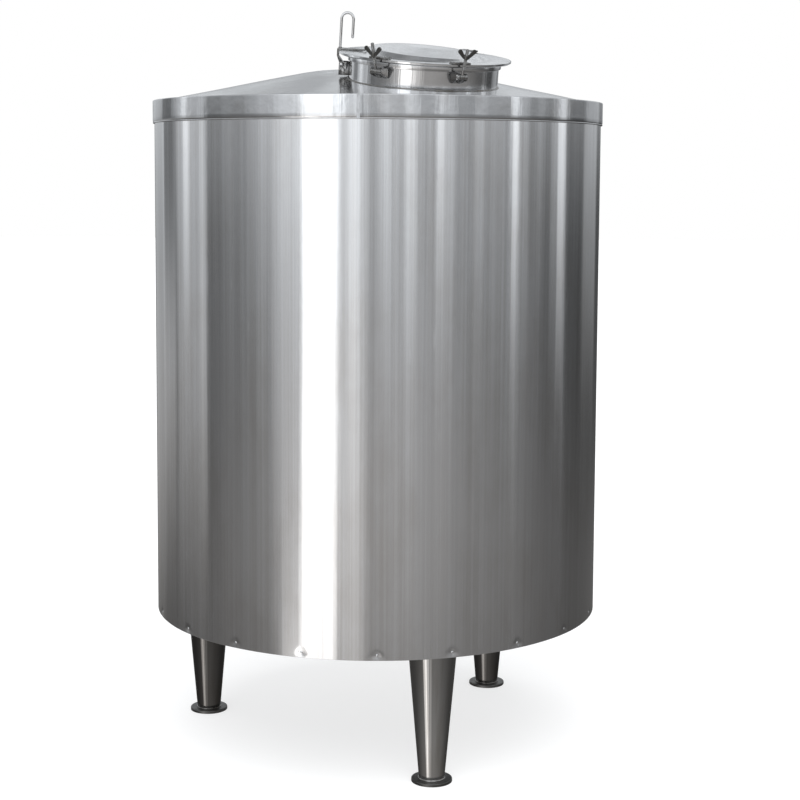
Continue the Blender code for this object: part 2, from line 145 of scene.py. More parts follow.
class Shader:
    """The nodes of one material or world."""

    def __init__(self, owner):
        owner.use_nodes = True
        self.tree = owner.node_tree

    def node(self, kind, settings=None, sockets=None, output=0):
        """A new node's output. Its settings go in first, then the values or links of its sockets."""
        made = self.tree.nodes.new(kind)
        for name, value in (settings or {}).items():
            setattr(made, name, value)
        for key, value in (sockets or {}).items():
            self.put(made.inputs[key], value)
        return Value(self, made.outputs[output])

    def put(self, socket, value):
        """Links a value to a socket, or sets the socket to a plain number, vector or colour."""
        if isinstance(value, Value):
            self.tree.links.new(value.socket, socket)
        else:
            socket.default_value = value

    def vectors(self, operation, first, second=(0, 0, 0), output=0):
        """The output of a Vector Math node."""
        return self.node("ShaderNodeVectorMath", {"operation": operation}, {0: first, 1: second}, output)

    def surface(self):
        """The piece's own coordinates."""
        return self.node("ShaderNodeTexCoord", output="Object")

    def up(self, vector):
        """A vector's third number."""
        return self.node("ShaderNodeSeparateXYZ", None, {0: vector}, output=2)

    def noise(self, scale, detail=2.0, roughness=0.5, place=None):
        """Noise from 0 to 1 over the piece or another place, with its repeats a metre along each axis."""
        spot = self.vectors("MULTIPLY", place or self.surface(), scale)
        sockets = {"Vector": spot, "Scale": 1.0, "Detail": detail, "Roughness": roughness}
        return self.node("ShaderNodeTexNoise", None, sockets)

    def mix(self, factor, first, second):
        """A colour between two others, each given as red, green and blue."""
        settings = {"data_type": "RGBA", "clamp_factor": True}
        sockets = {0: factor, 6: (*first, 1.0), 7: (*second, 1.0)}
        return self.node("ShaderNodeMix", settings, sockets, output=2)

    def bump(self, height, strength):
        """The surface's relief, from its height in metres."""
        return self.node("ShaderNodeBump", None, {"Height": height, "Strength": strength, "Distance": 1.0})


class TankShell(PropertyGroup):
    """The jacket, its band, the roof, the vessel inside and the outlet."""

    radius: length("Jacket radius", "Outside of the jacket", JACKET_HIGH.x)
    sheet: length("Jacket sheet", "Thickness of the jacket's sheet", 0.003)
    steps: count("Steps round the tank", "Faces round the jacket", 720)
    wave: length("Waviness", "How far the sheet wanders in and out", 0.00045)
    seam_turn: angle("Jacket seam", "Where the jacket's sheet laps over itself", 160.5)
    seam_step: length("Seam step", "Height of the lapped edge", 0.0011)
    rivet_count: count("Rivets", "Rivets round the jacket's lower edge", 20)
    rivet_turn: angle("First rivet", "Where the first rivet is, from the front", -19.2)
    rivet_inset: length("Rivet height", "From the jacket's lower edge to the rivets", 0.016)
    rivet_radius: length("Rivet radius", "Radius of a rivet's head", 0.0036)
    dimple_depth: length("Dimple depth", "How far a rivet pulls the sheet in", 0.0016)
    dimple_radius: length("Dimple radius", "How wide a rivet's dimple is", 0.015)
    band_turn: angle("Band seam", "Where the band's ends lap", -23.9)
    joint_width: length("Joint strip", "Width of the strip over the band's ends", 0.011)
    band_bead: length("Band bead", "Radius of the rolled bead on the band's lower edge", 0.0020)
    roof_slope: plain("Roof slope", "Rise for each metre inwards", 0.209)
    roof_flat: length("Roof middle", "Radius of the flat disc in the roof's middle", 0.216)
    roof_wave: length("Roof waviness", "How uneven the roof's sheet is", 0.0022)
    bottom_slope: plain("Bottom slope", "Fall for each metre inwards", 0.08)
    vessel_sheet: length("Vessel sheet", "Thickness of the vessel's sheet", 0.004)
    flange_reach: length("Outlet flange", "How far the outlet's flange stands out from its pipe", 0.0065)


class Manway(PropertyGroup):
    """The tilted neck on the roof and its lid, in their own frame: +Z is along the neck."""

    distance: length("Distance", "From the tank's axis to the manway's, on the roof", 0.3985)
    tilt: angle("Tilt", "How far the manway leans to the front", 9.4)
    neck_radius: length("Neck radius", "Outside of the neck", 0.219)
    neck_sheet: length("Neck sheet", "Thickness of the neck", 0.004)
    neck_low: length("Neck's lower edge", "Height of the neck's lower edge", -0.035)
    neck_top: length("Neck's upper edge", "Height of the neck's upper edge", 0.060)
    collar_radius: length("Collar radius", "Outside of the collar", 0.2245)
    collar_low: length("Collar's lower edge", "Height of the collar's lower edge", 0.043)
    lid_radius: length("Lid radius", "Outside of the lid's rim", 0.2528)
    lid_top: length("Lid top", "Height of the lid's flat edge", 0.068)
    lid_sheet: length("Lid sheet", "Thickness of the lid", 0.003)
    rim_sheet: length("Rim sheet", "Thickness of the lid's rim", 0.0043)
    rim_low: length("Rim's lower edge", "Height of the rim's lower edge", 0.0585)
    rim_round: length("Rim's edge", "Rounding of the rim's upper edge", 0.0058)
    rim_curl: length("Rim's curl", "Radius with which the rim turns in under the lid", 0.0085)
    dome_radius: length("Raised middle", "Radius of the lid's raised middle", 0.157)
    dome_step: length("Slope", "Width of the slope up to the raised middle", 0.014)
    dome_rise: length("Rise", "Height of the raised middle", 0.021)
    lean_turn: angle("Lean's direction", "Where round the manway the raised middle is lowest", 22)
    dome_lean: share("Lean", "How much lower the raised middle is on that side", 0.66)
    lid_groove: length("Groove", "Depth of the groove round the raised middle", 0.0022)
    gasket_inside: length("Gasket inside", "Inner radius of the gasket", 0.206)
    gasket_outside: length("Gasket outside", "Outer radius of the gasket", 0.2255)
    steps: count("Steps", "Faces round the neck and lid", 192)


class Fittings(PropertyGroup):
    """The hinge, the J-shaped rod and the swing-bolt clamps on the manway."""

    hinge_turn: angle("Hinge", "Where the hinge is round the manway", -115)
    hinge_radius: length("Hinge pin's distance", "From the manway's axis to the hinge pin", 0.2425)
    hinge_height: length("Hinge pin's height", "Height of the hinge pin", 0.027)
    hinge_pin: length("Hinge pin", "Radius of the hinge pin", 0.004)
    hinge_half: length("Hinge pin's half length", "Half the length of the hinge pin", 0.022)
    rod_radius: length("Rod", "Radius of the J-shaped rod", 0.004)
    rod_foot: length("Rod's distance", "From the manway's axis to the rod's foot", 0.2505)
    rod_low: length("Rod's foot", "Height of the rod's foot", 0.0736)
    rod_bend: length("Rod's bend", "Radius of the rod's half turn", 0.0175)
    rod_bend_height: length("Bend's height", "Height at which the half turn starts", 0.1575)
    rod_tip: length("Rod's tip", "Height of the rod's free end", 0.102)
    front_left: angle("Front left clamp", "Where this clamp is round the manway", -52)
    front_right: angle("Front right clamp", "Where this clamp is round the manway", 3)
    rear_right: angle("Rear right clamp", "Where this clamp is round the manway", 127)
    rear_left: angle("Rear left clamp", "Where this clamp is round the manway", -178)
    slack: angle("Slack lean", "How far the front bolts lean out", 18.5)
    open: angle("Open lean", "How far the rear bolts hang out", 76)
    pivot_radius: length("Pivot's distance", "From the manway's axis to a clamp's pivot", 0.262)
    pivot_height: length("Pivot's height", "Height of a clamp's pivot", 0.034)
    pivot_half: length("Pivot's half length", "From a pivot's middle to its washer's middle", 0.0148)
    bolt_radius: length("Bolt", "Radius of a swing bolt over its thread", 0.005)
    bolt_end: length("Bolt's end", "From the pivot to the bolt's end", 0.084)
    thread_pitch: length("Thread pitch", "From one turn of the thread to the next", 0.0015)
    thread_depth: length("Thread depth", "How deep the thread is", 0.0007)
    eye_radius: length("Eye", "Outer radius of a swing bolt's eye", 0.009)
    eye_half: length("Eye's half width", "Half the width of a swing bolt's eye", 0.007)
    bore_radius: length("Eye's bore", "Radius of the hole in the eye", 0.0044)
    nut_low_left: length("Front left nut", "From this clamp's pivot to its nut", 0.046)
    nut_low_right: length("Front right nut", "From this clamp's pivot to its nut", 0.056)
    nut_low_rear: length("Rear nuts", "From a rear clamp's pivot to its nut", 0.050)
    nut_height: length("Nut height", "Height of a wing nut's hub", 0.011)
    nut_radius: length("Nut radius", "Radius of the hub at its foot", 0.0085)
    nut_top_radius: length("Nut's top", "Radius of the hub at its top", 0.007)
    wing_span: length("Wing span", "From the nut's axis to a wing's tip", 0.028)
    wing_rise: length("Wing rise", "From the nut's foot to the wing's tip", 0.015)
    wing_tip: length("Wing tip", "Radius of a wing's tip", 0.0065)
    wing_sheet: length("Wing thickness", "Thickness of a wing", 0.005)


class Legs(PropertyGroup):
    """The three tapered legs and their foot plates."""

    turn: angle("First leg", "Where the first leg is, from the front", -2.5)
    circle: length("Leg circle", "From the tank's axis to a leg's", 0.5707)
    foot_radius: length("Leg at its foot", "Radius of a leg where it meets its plate", 0.038)
    taper: plain("Taper", "Radius gained for each metre of height", 0.0871)
    plate_radius: length("Foot plate", "Radius of a foot plate", (FOOT_HIGH.x - FOOT_LOW.x) / 2)
    plate_height: length("Foot plate's height", "Thickness of a foot plate", FOOT_HIGH.z)
    steps: count("Steps", "Faces round a leg", 96)


class Finishes(PropertyGroup):
    """Colours and polish of the steels and the rubber."""

    steel: colour("Steel", "Colour of the polished steel", (0.63, 0.63, 0.635))
    jacket: colour("Jacket", "Colour of the jacket's steel", (0.64, 0.64, 0.648))
    band: colour("Band", "Colour of the band's steel", (0.50, 0.50, 0.505))
    roof: colour("Roof", "Colour of the roof's duller steel", (0.47, 0.47, 0.475))
    leg: colour("Legs", "Colour of the front leg's steel", (0.42, 0.415, 0.41))
    # The rear legs' darker colour is painted shade: it paints the shadow they stand in, under and behind the
    # tank
    back_legs_painted_shade: colour("Rear legs", "Colour of the rear legs' duller steel", (0.17, 0.165, 0.16))
    fitting: colour("Fittings", "Colour of the cut plates and bolts", (0.25, 0.247, 0.243))
    cast: colour("Castings", "Colour of the wing nuts and foot plates", (0.11, 0.108, 0.104))
    rubber: colour("Rubber", "Colour of the lid's gasket", (0.62, 0.605, 0.56))
    jacket_rough: share("Jacket roughness", "How much the jacket's polish spreads a reflection", 0.14)
    polish: share("Polish roughness", "Roughness of the polished neck, band and lid", 0.13)
    roof_rough: share("Roof roughness", "Roughness of the roof", 0.15)
    leg_rough: share("Leg roughness", "Roughness of the legs", 0.11)
    cast_rough: share("Casting roughness", "Roughness of the castings", 0.40)


class Studio(PropertyGroup):
    """The camera, the light and the floor."""

    turn: angle("Camera turn", "Where the camera stands, from the front", -19.467)
    distance: length("Camera distance", "From the tank's axis to the camera", 5.444)
    height: length("Camera height", "Height of the camera", 1.793)
    tilt: angle("Camera tilt", "Between the view and straight down", 84.463)
    roll: angle("Camera roll", "How far the camera leans over", -0.319)
    heading: angle("Camera heading", "Which way the camera looks", -20.206)
    lens: FloatProperty(name="Lens", description="Focal length", default=76.918, subtype="DISTANCE_CAMERA")
    shift: plain("Shift", "How far the frame is shifted up", -0.08)
    floor_radius: length("Floor", "Radius of the floor", 40.0)
    floor_colour: colour("Floor colour", "Colour of the pale floor", (0.34, 0.34, 0.34))
    floor_glow: share("Floor glow", "Light that the floor gives by itself, which pales the shadows", 0.68)
    backdrop: colour("Backdrop", "Colour behind the floor", (1.0, 1.0, 1.0))
    upper_light: colour("Upper light", "Tint of the studio's walls and ceiling", (0.93, 0.965, 1.0))
    lower_light: colour("Lower light", "Tint of what the steel mirrors low down", (1.0, 0.98, 0.96))
    sun: plain("Overhead light", "Strength of the soft overhead light", 2.4)


def smooth_mesh(mesh, limit=32):
    """Smooth shading, with edges sharper than the limit in degrees kept."""
    mesh.shade_smooth()
    mesh.set_sharp_from_angle(angle=radians(limit))


def piece(name, data, finish, body, matrix=None, replaced=()):
    """A new object with its finish, riding on a body, in place of CAD nodes."""
    made = bpy.data.objects.new(name, data)
    bpy.context.scene.collection.objects.link(made)
    data.materials.append(bpy.data.materials[f"{finish}_look"])
    if matrix:
        made.matrix_world = matrix
    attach(made, body)
    if replaced:
        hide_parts(*replaced)
    return made


def turned_at(turn):
    """Turns the front, -Y, by an angle towards +X."""
    return Matrix.Rotation(turn, 4, "Z")


def manway_frame():
    """The neck's own frame, on the roof."""
    manway, shell = bpy.context.scene.tank_manway, bpy.context.scene.tank_shell
    at = (0, -manway.distance, roof_height(manway.distance, shell))
    return Matrix.Translation(at) @ Matrix.Rotation(manway.tilt, 4, "X")


def quarters(name):
    """The CAD nodes of a round shell that packs as four segments."""
    return [f"{name}_{i}" for i in range(1, 5)]


def roof_height(radius, shell):
    """Height of the roof's upper side at a distance from the tank's axis."""
    return ROOF_HIGH.z - shell.roof_slope * (max(radius, shell.roof_flat) - shell.roof_flat)


def bottom_height(radius, shell):
    """Height of the vessel bottom's upper side at a distance from the tank's axis."""
    return BOTTOM_HIGH.z - shell.bottom_slope * (BOTTOM_HIGH.x - radius)


def arc(centre, radius, start, end, steps):
    """Points of an arc, its ends included; the angles are in degrees."""
    turns = [radians(start + (end - start) * i / steps) for i in range(steps + 1)]
    return [(centre[0] + radius * cos(t), centre[1] + radius * sin(t)) for t in turns]


def eased(profile, radius, steps=3, closed=True):
    """The profile with its corners rounded off, as far as its sides leave room."""
    count = len(profile)
    made = []
    for i, point in enumerate(profile):
        if not closed and i in (0, count - 1):
            made.append(point)
            continue
        corner = Vector(point)
        before = Vector(profile[i - 1]) - corner
        after = Vector(profile[(i + 1) % count]) - corner
        reach = min(radius, before.length / 2.2, after.length / 2.2)
        first = corner + before.normalized() * reach
        last = corner + after.normalized() * reach
        for k in range(steps + 1):
            t = k / steps
            made.append(tuple(first * (1 - t) ** 2 + corner * (2 * t * (1 - t)) + last * t**2))
    return made


def lathe(name, profile, steps, closed=True, warp=None):
    """A profile of (radius, height) points turned about Z. It runs down the outer side.

    The warp gets a point's radius, its angle from the front and its height, and returns them changed.
    """
    points = []
    rows = []
    for radius, height in profile:
        if radius <= 0:
            rows.append([len(points)] * steps)
            points.append((0, 0, height))
            continue
        rows.append(list(range(len(points), len(points) + steps)))
        for i in range(steps):
            turn = tau * i / steps
            r, t, z = warp(radius, turn, height) if warp else (radius, turn, height)
            points.append((r * sin(t), -r * cos(t), z))
    pairs = list(zip(rows, rows[1:]))
    if closed:
        pairs.append((rows[-1], rows[0]))
    faces = []
    for upper, lower in pairs:
        for i in range(steps):
            j = (i + 1) % steps
            corners = [upper[i], lower[i], lower[j], upper[j]]
            faces.append([c for k, c in enumerate(corners) if c != corners[k - 1]])
    mesh = bpy.data.meshes.new(name)
    mesh.from_pydata(points, [], faces)
    smooth_mesh(mesh)
    return mesh


def ring(inner, outer, low, high, rounding):
    """The profile of a ring with its edges rounded."""
    return eased([(outer, high), (outer, low), (inner, low), (inner, high)], rounding)


def run(start, end, steps):
    """Numbers from start to end, both included."""
    return [start + (end - start) * i / steps for i in range(steps + 1)]


def tube(name, route, radius, closed=False, resolution=4):
    """A round bar or a weld bead along a route."""
    curve = bpy.data.curves.new(name, "CURVE")
    curve.dimensions = "3D"
    curve.bevel_depth = radius
    curve.bevel_resolution = resolution
    curve.use_fill_caps = not closed
    spline = curve.splines.new("POLY")
    spline.points.add(len(route) - 1)
    for point, place in zip(spline.points, route):
        point.co = (*place, 1)
    spline.use_cyclic_u = closed
    spline.use_smooth = True
    return curve


def joined(name, meshes):
    """Several meshes, each with its matrix, as one."""
    bm = bmesh.new()
    for mesh, matrix in meshes:
        start = len(bm.verts)
        bm.from_mesh(mesh)
        bm.verts.ensure_lookup_table()
        bmesh.ops.transform(bm, matrix=matrix, verts=bm.verts[start:])
    made = bpy.data.meshes.new(name)
    bm.to_mesh(made)
    bm.free()
    smooth_mesh(made)
    return made


def extruded(name, outline, low, high):
    """An outline of (across, up) points, pushed along Y from low to high."""
    bm = bmesh.new()
    face = bm.faces.new([bm.verts.new((x, low, z)) for x, z in outline])
    pushed = bmesh.ops.extrude_face_region(bm, geom=[face])
    moved = [part for part in pushed["geom"] if isinstance(part, bmesh.types.BMVert)]
    bmesh.ops.translate(bm, verts=moved, vec=(0, high - low, 0))
    bmesh.ops.recalc_face_normals(bm, faces=bm.faces)
    mesh = bpy.data.meshes.new(name)
    bm.to_mesh(mesh)
    bm.free()
    return mesh


def eased_node(node, width, segments=3, sharp=25):
    """A CAD node's shape with its edges rounded by a bevel."""
    bm = bmesh.new()
    bm.from_mesh(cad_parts[node].data)
    bmesh.ops.remove_doubles(bm, verts=bm.verts, dist=0.00001)
    bmesh.ops.dissolve_limit(bm, angle_limit=radians(1), verts=bm.verts, edges=bm.edges)
    edges = [e for e in bm.edges if e.is_manifold and e.calc_face_angle() > radians(sharp)]
    bmesh.ops.bevel(bm, geom=edges, offset=width, segments=segments, affect="EDGES", clamp_overlap=True)
    bmesh.ops.triangulate(bm, faces=[f for f in bm.faces if len(f.verts) > 4])
    mesh = bpy.data.meshes.new(f"{node}_eased")
    bm.to_mesh(mesh)
    bm.free()
    smooth_mesh(mesh, 40)
    return mesh


def modified(made):
    """The mesh that an object's modifiers make of it."""
    bpy.context.view_layer.update()
    depsgraph = bpy.context.evaluated_depsgraph_get()
    return bpy.data.meshes.new_from_object(made.evaluated_get(depsgraph))


def turn_distance(first, second):
    """The angle between two turns, from -pi to pi."""
    return (first - second + pi) % tau - pi


def around_and_up(shader):
    """The turn round the piece's own Z axis as a circle of radius 1, with the height as third number."""
    surface = shader.surface()
    flat = shader.vectors("MULTIPLY", surface, (1, 1, 0))
    up = shader.vectors("MULTIPLY", surface, (0, 0, 1))
    return shader.vectors("ADD", shader.vectors("NORMALIZE", flat), up)


def tinted(rgb, factors):
    return [c * f for c, f in zip(rgb, factors)]


def material(name):
    """The nodes and the sockets of a new material.

    The CAD model has materials of the plain names, so these end in _look.
    """
    made = bpy.data.materials.new(f"{name}_look")
    shader = Shader(made)
    return shader, made.node_tree.nodes["Principled BSDF"].inputs


def set_surface(shader, sockets, tone, rough, height, strength=0.5):
    shader.put(sockets["Base Color"], tone)
    shader.put(sockets["Roughness"], rough)
    shader.put(sockets["Normal"], shader.bump(height, strength))


def set_steel(shader, sockets, base, film, rough, height, strength=0.5, worn=(0.80, 0.775, 0.745)):
    """Steel that is warmer and darker where its film is 1."""
    set_surface(shader, sockets, shader.mix(film, base, tinted(base, worn)), rough, height, strength)
    sockets["Metallic"].default_value = 1.0


def set_brushed(sockets, amount):
    """Draws reflections out across the lines that run round the piece."""
    sockets["Anisotropic"].default_value = amount
    sockets["Anisotropic Rotation"].default_value = 0.25


def make_jacket_steel(finishes):
    """Sheet polished round the tank: fine level lines, long upright bands and faint handling marks."""
    shader, sockets = material("jacket_steel")
    place = around_and_up(shader)
    lines = shader.noise((9, 9, 1400), 3.0, 0.6, place)
    bands = shader.noise((26, 26, 0.55), 2.0, 0.5, place)
    clouds = shader.noise((5, 5, 3.2), 4.0, 0.6, place)
    marks = shader.noise((60, 60, 9), 2.0, 0.5, place).smooth(0.66, 0.80)
    streaks = shader.noise((100, 100, 0.5), 3.0, 0.7, place).smooth(0.30, 0.70)
    film = clouds.smooth(0.42, 0.72) * 0.35 + streaks * 0.4
    rough = finishes.jacket_rough + (lines - 0.5) * 0.09 + (bands - 0.5) * 0.10 + marks * 0.05
    height = lines * 0.000006 + bands * 0.00036 + clouds * 0.0004
    set_steel(shader, sockets, finishes.jacket, film, rough, height)
    set_brushed(sockets, 0.88)


def make_turned_steel(finishes, name, base, unevenness):
    """Steel polished round the piece's own axis, with small scratches and soft dents."""
    shader, sockets = material(name)
    place = around_and_up(shader)
    lines = shader.noise((8, 8, 900), 2.0, 0.6, place)
    bands = shader.noise((22, 22, 2), 3.0, 0.6, place)
    clouds = shader.noise((14, 14, 14), 3.0)
    scratches = shader.noise((90, 90, 2200), 1.0, 0.5, place).smooth(0.68, 0.78)
    rough = finishes.polish + (lines - 0.5) * 0.08 + (clouds - 0.5) * 0.08 + scratches * 0.08
    height = lines * 0.000005 + bands * 0.0008 + clouds * unevenness - scratches * 0.00001
    set_steel(shader, sockets, base, clouds.smooth(0.45, 0.75) * 0.4, rough, height)


def make_roof_steel(finishes):
    """Duller sheet with a rolled grain, stains and soft dents."""
    shader, sockets = material("roof_steel")
    grain = shader.noise((260, 9, 9), 3.0, 0.6)
    clouds = shader.noise((9, 9, 9), 4.0, 0.6)
    spots = shader.noise((46, 46, 46)).smooth(0.62, 0.74)
    streaks = shader.noise((3, 42, 42))
    film = (clouds.smooth(0.40, 0.70) + spots * 0.5) * 0.6
    rough = finishes.roof_rough + (grain - 0.5) * 0.12 + (clouds - 0.5) * 0.16
    height = grain * 0.000012 + clouds * 0.0034 + streaks * 0.0004
    set_steel(shader, sockets, finishes.roof, film, rough, height)


def make_leg_steel(finishes, name, base):
    """Satin tube ground round, with upright smears and a darker foot."""
    shader, sockets = material(name)
    lines = shader.noise((10, 10, 1300), 2.0, 0.6)
    smears = shader.noise((70, 70, 4), 3.0)
    foot = shader.up(shader.surface()).smooth(0.03, 0.16, 0.6, 0.0)
    film = (smears.smooth(0.40, 0.72) * 0.7 + foot) * 0.8
    rough = finishes.leg_rough + (lines - 0.5) * 0.06 + (smears - 0.5) * 0.08
    set_steel(shader, sockets, base, film, rough, lines * 0.000008 + smears * 0.00006)
    set_brushed(sockets, 0.75)


def make_fitting_steel(finishes):
    """Cut and ground plate for the ears, forks, strap and bolts."""
    shader, sockets = material("fitting_steel")
    grain = shader.noise((900, 60, 60), 2.0, 0.6)
    clouds = shader.noise((60, 60, 60), 3.0)
    hammered = shader.noise((190, 190, 190))
    film = clouds.smooth(0.42, 0.70)
    rough = finishes.polish + 0.06 + (grain - 0.5) * 0.16 + film * 0.10
    height = grain * 0.00001 + clouds * 0.0003 + hammered * 0.00016
    set_steel(shader, sockets, finishes.fitting, film * 0.9, rough, height, 0.6)


def make_cast_steel(finishes):
    """Fine-grained castings with darker patches."""
    shader, sockets = material("cast_steel")
    grain = shader.noise((1500, 1500, 1500), 2.0, 0.6)
    clouds = shader.noise((90, 90, 90), 3.0)
    rough = finishes.cast_rough + (clouds - 0.5) * 0.25
    height = grain * 0.00008 + clouds * 0.0002
    set_steel(shader, sockets, finishes.cast, clouds.smooth(0.4, 0.7) * 0.8, rough, height)


def make_weld_steel(finishes):
    """Weld beads: rippled along their run, a little brown with heat."""
    shader, sockets = material("weld_steel")
    ripples = shader.noise((420, 420, 420))
    heat = shader.noise((38, 38, 38)).smooth(0.4, 0.7)
    rough = ripples.smooth(0.3, 0.7, 0.22, 0.42)
    brown = (0.86, 0.80, 0.72)
    set_steel(shader, sockets, finishes.fitting, heat, rough, ripples * 0.0004, 0.6, brown)


def make_rubber(finishes):
    """Pale food-grade rubber with a powdery surface."""
    shader, sockets = material("gasket_rubber")
    powder = shader.noise((300, 300, 300), 3.0)
    age = shader.noise((20, 20, 20)).smooth(0.35, 0.7)
    aged = shader.mix(age, finishes.rubber, tinted(finishes.rubber, (0.86, 0.82, 0.74)))
    set_surface(shader, sockets, aged, powder.smooth(0.2, 0.8, 0.50, 0.68), powder * 0.00005)


def make_vessel_steel(finishes):
    """The vessel's inside: mill-finished sheet."""
    shader, sockets = material("vessel_steel")
    grain = shader.noise((8, 8, 500), 3.0, 0.6)
    clouds = shader.noise((6, 6, 6), 3.0)
    rough = 0.36 + (grain - 0.5) * 0.10 + (clouds - 0.5) * 0.10
    height = grain * 0.00001 + clouds * 0.0003
    set_steel(shader, sockets, finishes.steel, clouds.smooth(0.4, 0.7) * 0.5, rough, height)


class TANK_OT_finishes(Operator):
    """Makes the steels and the rubber"""

    bl_idname = "tank.finishes"
    bl_label = "Finishes"

    def execute(self, context):
        finishes = context.scene.tank_finishes
        make_jacket_steel(finishes)
        make_turned_steel(finishes, "polished_steel", finishes.steel, 0.0005)
        make_turned_steel(finishes, "band_steel", finishes.band, 0.0013)
        make_roof_steel(finishes)
        make_leg_steel(finishes, "leg_steel", finishes.leg)
        # The rear legs get a darker copy of the leg steel, which paints the shade they stand in
        make_leg_steel(finishes, "back_legs_painted_shade_steel", finishes.back_legs_painted_shade)
        make_fitting_steel(finishes)
        make_cast_steel(finishes)
        make_weld_steel(finishes)
        make_rubber(finishes)
        make_vessel_steel(finishes)
        return {"FINISHED"}


def sheet_wave(turn, height):
    """How far the jacket's sheet lies inside its true circle, from 0 to 1."""
    wide = sin(3 * turn + 1.9 * height) * sin(5 * turn - 0.8 * height + 1.0)
    narrow = sin(17 * turn + 0.9 * sin(2.3 * height + turn)) * sin(1.7 * height + 2 * turn)
    return 0.5 + 0.3 * wide + 0.2 * narrow


def rivet_places(shell):
    spacing = tau / shell.rivet_count
    return [shell.rivet_turn + i * spacing for i in range(shell.rivet_count)]


class TANK_OT_jacket(Operator):
    """Rolls the jacket's sheet, with its lapped seam and a dimple at each rivet"""

    bl_idname = "tank.jacket"
    bl_label = "Jacket"

    def execute(self, context):
        shell = context.scene.tank_shell
        rivet_height = JACKET_LOW.z + shell.rivet_inset
        spacing = tau / shell.rivet_count
        lap = 0.030 / shell.radius  # the overlap at the seam, as an angle

        def warp(radius, turn, height):
            if radius < shell.radius - shell.sheet / 2:
                return radius, turn, height
            inwards = shell.wave * sheet_wave(turn, height)
            from_rivet = (turn - shell.rivet_turn + spacing / 2) % spacing - spacing / 2
            # A dimple is wider under its rivet than over it
            spread = 1 + 0.6 * (rivet_height - height) / shell.rivet_inset
            away = hypot(from_rivet * shell.radius / max(spread, 0.3), height - rivet_height)
            inwards += shell.dimple_depth * exp(-((away / shell.dimple_radius) ** 2) * 2)
            past_seam = turn_distance(turn, shell.seam_turn)
            if past_seam > 0:
                inwards += shell.seam_step * max(0.0, 1 - past_seam / lap)
            return radius - inwards, turn, height

        low, chamfer = JACKET_LOW.z, 0.0006
        dimples_top = low + 0.055
        inner = shell.radius - shell.sheet
        heights = [*run(JACKET_HIGH.z, dimples_top, 30), *run(dimples_top, low + chamfer, 18)[1:]]
        profile = [(shell.radius, z) for z in heights]
        profile += [(shell.radius - chamfer, low), (inner, low), (inner, JACKET_HIGH.z)]
        mesh = lathe("jacket", profile, shell.steps, warp=warp)
        piece("jacket", mesh, "jacket_steel", "tank", replaced=quarters("jacket"))
        return {"FINISHED"}


class TANK_OT_rivets(Operator):
    """Sets the round-headed rivets in their dimples"""

    bl_idname = "tank.rivets"
    bl_label = "Rivets"

    def execute(self, context):
        shell = context.scene.tank_shell
        radius, sunk = shell.rivet_radius, -0.0012
        rise = radius * 0.55
        head = [(0, rise), *[(radius * sin(t), rise * cos(t)) for t in run(0.3, pi / 2, 6)]]
        dome = lathe("rivet", [*head, (radius, sunk), (0, sunk)], 16, closed=False)
        seat = shell.radius - shell.dimple_depth - shell.wave
        lying = Matrix.Rotation(pi / 2, 4, "X")
        out = Matrix.Translation((0, -seat, JACKET_LOW.z + shell.rivet_inset))
        meshes = [(dome, turned_at(turn) @ out @ lying) for turn in rivet_places(shell)]
        piece("jacket_rivets", joined("jacket_rivets", meshes), "polished_steel", "tank")
        return {"FINISHED"}


class TANK_OT_band(Operator):
    """Rolls the band round the jacket's top, with its lip, its bead and its lapped ends"""

    bl_idname = "tank.band"
    bl_label = "Band"

    def execute(self, context):
        shell = context.scene.tank_shell
        run_up, lap, step = 0.060, 0.009, 0.0014
        outside, inside = BAND_HIGH.x, shell.radius + GAP
        face = outside - step
        bead = shell.band_bead
        low, high = BAND_LOW.z, BAND_HIGH.z
        lip, lip_sheet = 0.688, 0.0014
        lip_low = roof_height(lip, shell) + GAP

        def warp(radius, turn, height):
            if radius < face - step:
                return radius, turn, height
            # The face rises gently to the strip over the band's ends and drops again beyond it
            past_seam = turn_distance(turn, shell.band_turn) * outside
            rise, fall = 1 + past_seam / run_up, 1 - past_seam / lap
            lifted = step * max(0.0, min(rise, fall))
            inwards = 0.0004 * sheet_wave(turn + 1.0, height * 4)
            return min(radius - inwards + lifted, outside), turn, height

        rounding, roof_edge = 0.0018, high - 0.0068
        fold, under = inside + 0.0025, high - 0.0016
        profile = [
            *arc((face - rounding, high - rounding), rounding, 90, 0, 4),
            *[(face, z) for z in run(high - 0.004, low + 4 * bead, 6)],
            (face - 0.0005, low + 2.4 * bead),
            *arc((face - bead, low + bead), bead, 60, -90, 6),
            (inside, low),
            (inside, roof_edge),
            (fold, roof_edge),
            (fold, under),
            (lip, lip_low),
            (lip, lip_low + lip_sheet),
        ]
        mesh = lathe("rim_band", profile, shell.steps, warp=warp)
        piece("band", mesh, "band_steel", "tank", replaced=["rim_band"])
        half, chamfer = shell.joint_width / 2, 0.0008
        thick = outside - face + chamfer
        section = [(half, 0), (half - chamfer, thick), (chamfer - half, thick), (-half, 0)]
        strip = extruded("band_joint", section, low + 0.0010, high - 0.0012)
        smooth_mesh(strip)
        strip.transform(Matrix.Rotation(pi / 2, 4, "X"))
        place = turned_at(shell.band_turn) @ Matrix.Translation((0, thick - outside, 0))
        piece("band_joint", strip, "roof_steel", "tank", place)
        return {"FINISHED"}


def neck_meets_roof(turn, radius, shell, frame_matrix):
    """The point where the neck's outer side crosses the roof, in world coordinates."""
    height = 0.0
    for _ in range(8):
        point = frame_matrix @ Vector((radius * sin(turn), -radius * cos(turn), height))
        height += roof_height(hypot(point.x, point.y), shell) - point.z
    return point


def roof_wave(x, y):
    """Unevenness of the roof's sheet, from -1 to 1."""
    wide = sin(9 * x + 3 * y) * sin(7 * y - 4 * x + 0.7)
    narrow = sin(19 * x - 11 * y + 2.0) * sin(13 * y + 0.4)
    return 0.5 * wide + 0.5 * narrow


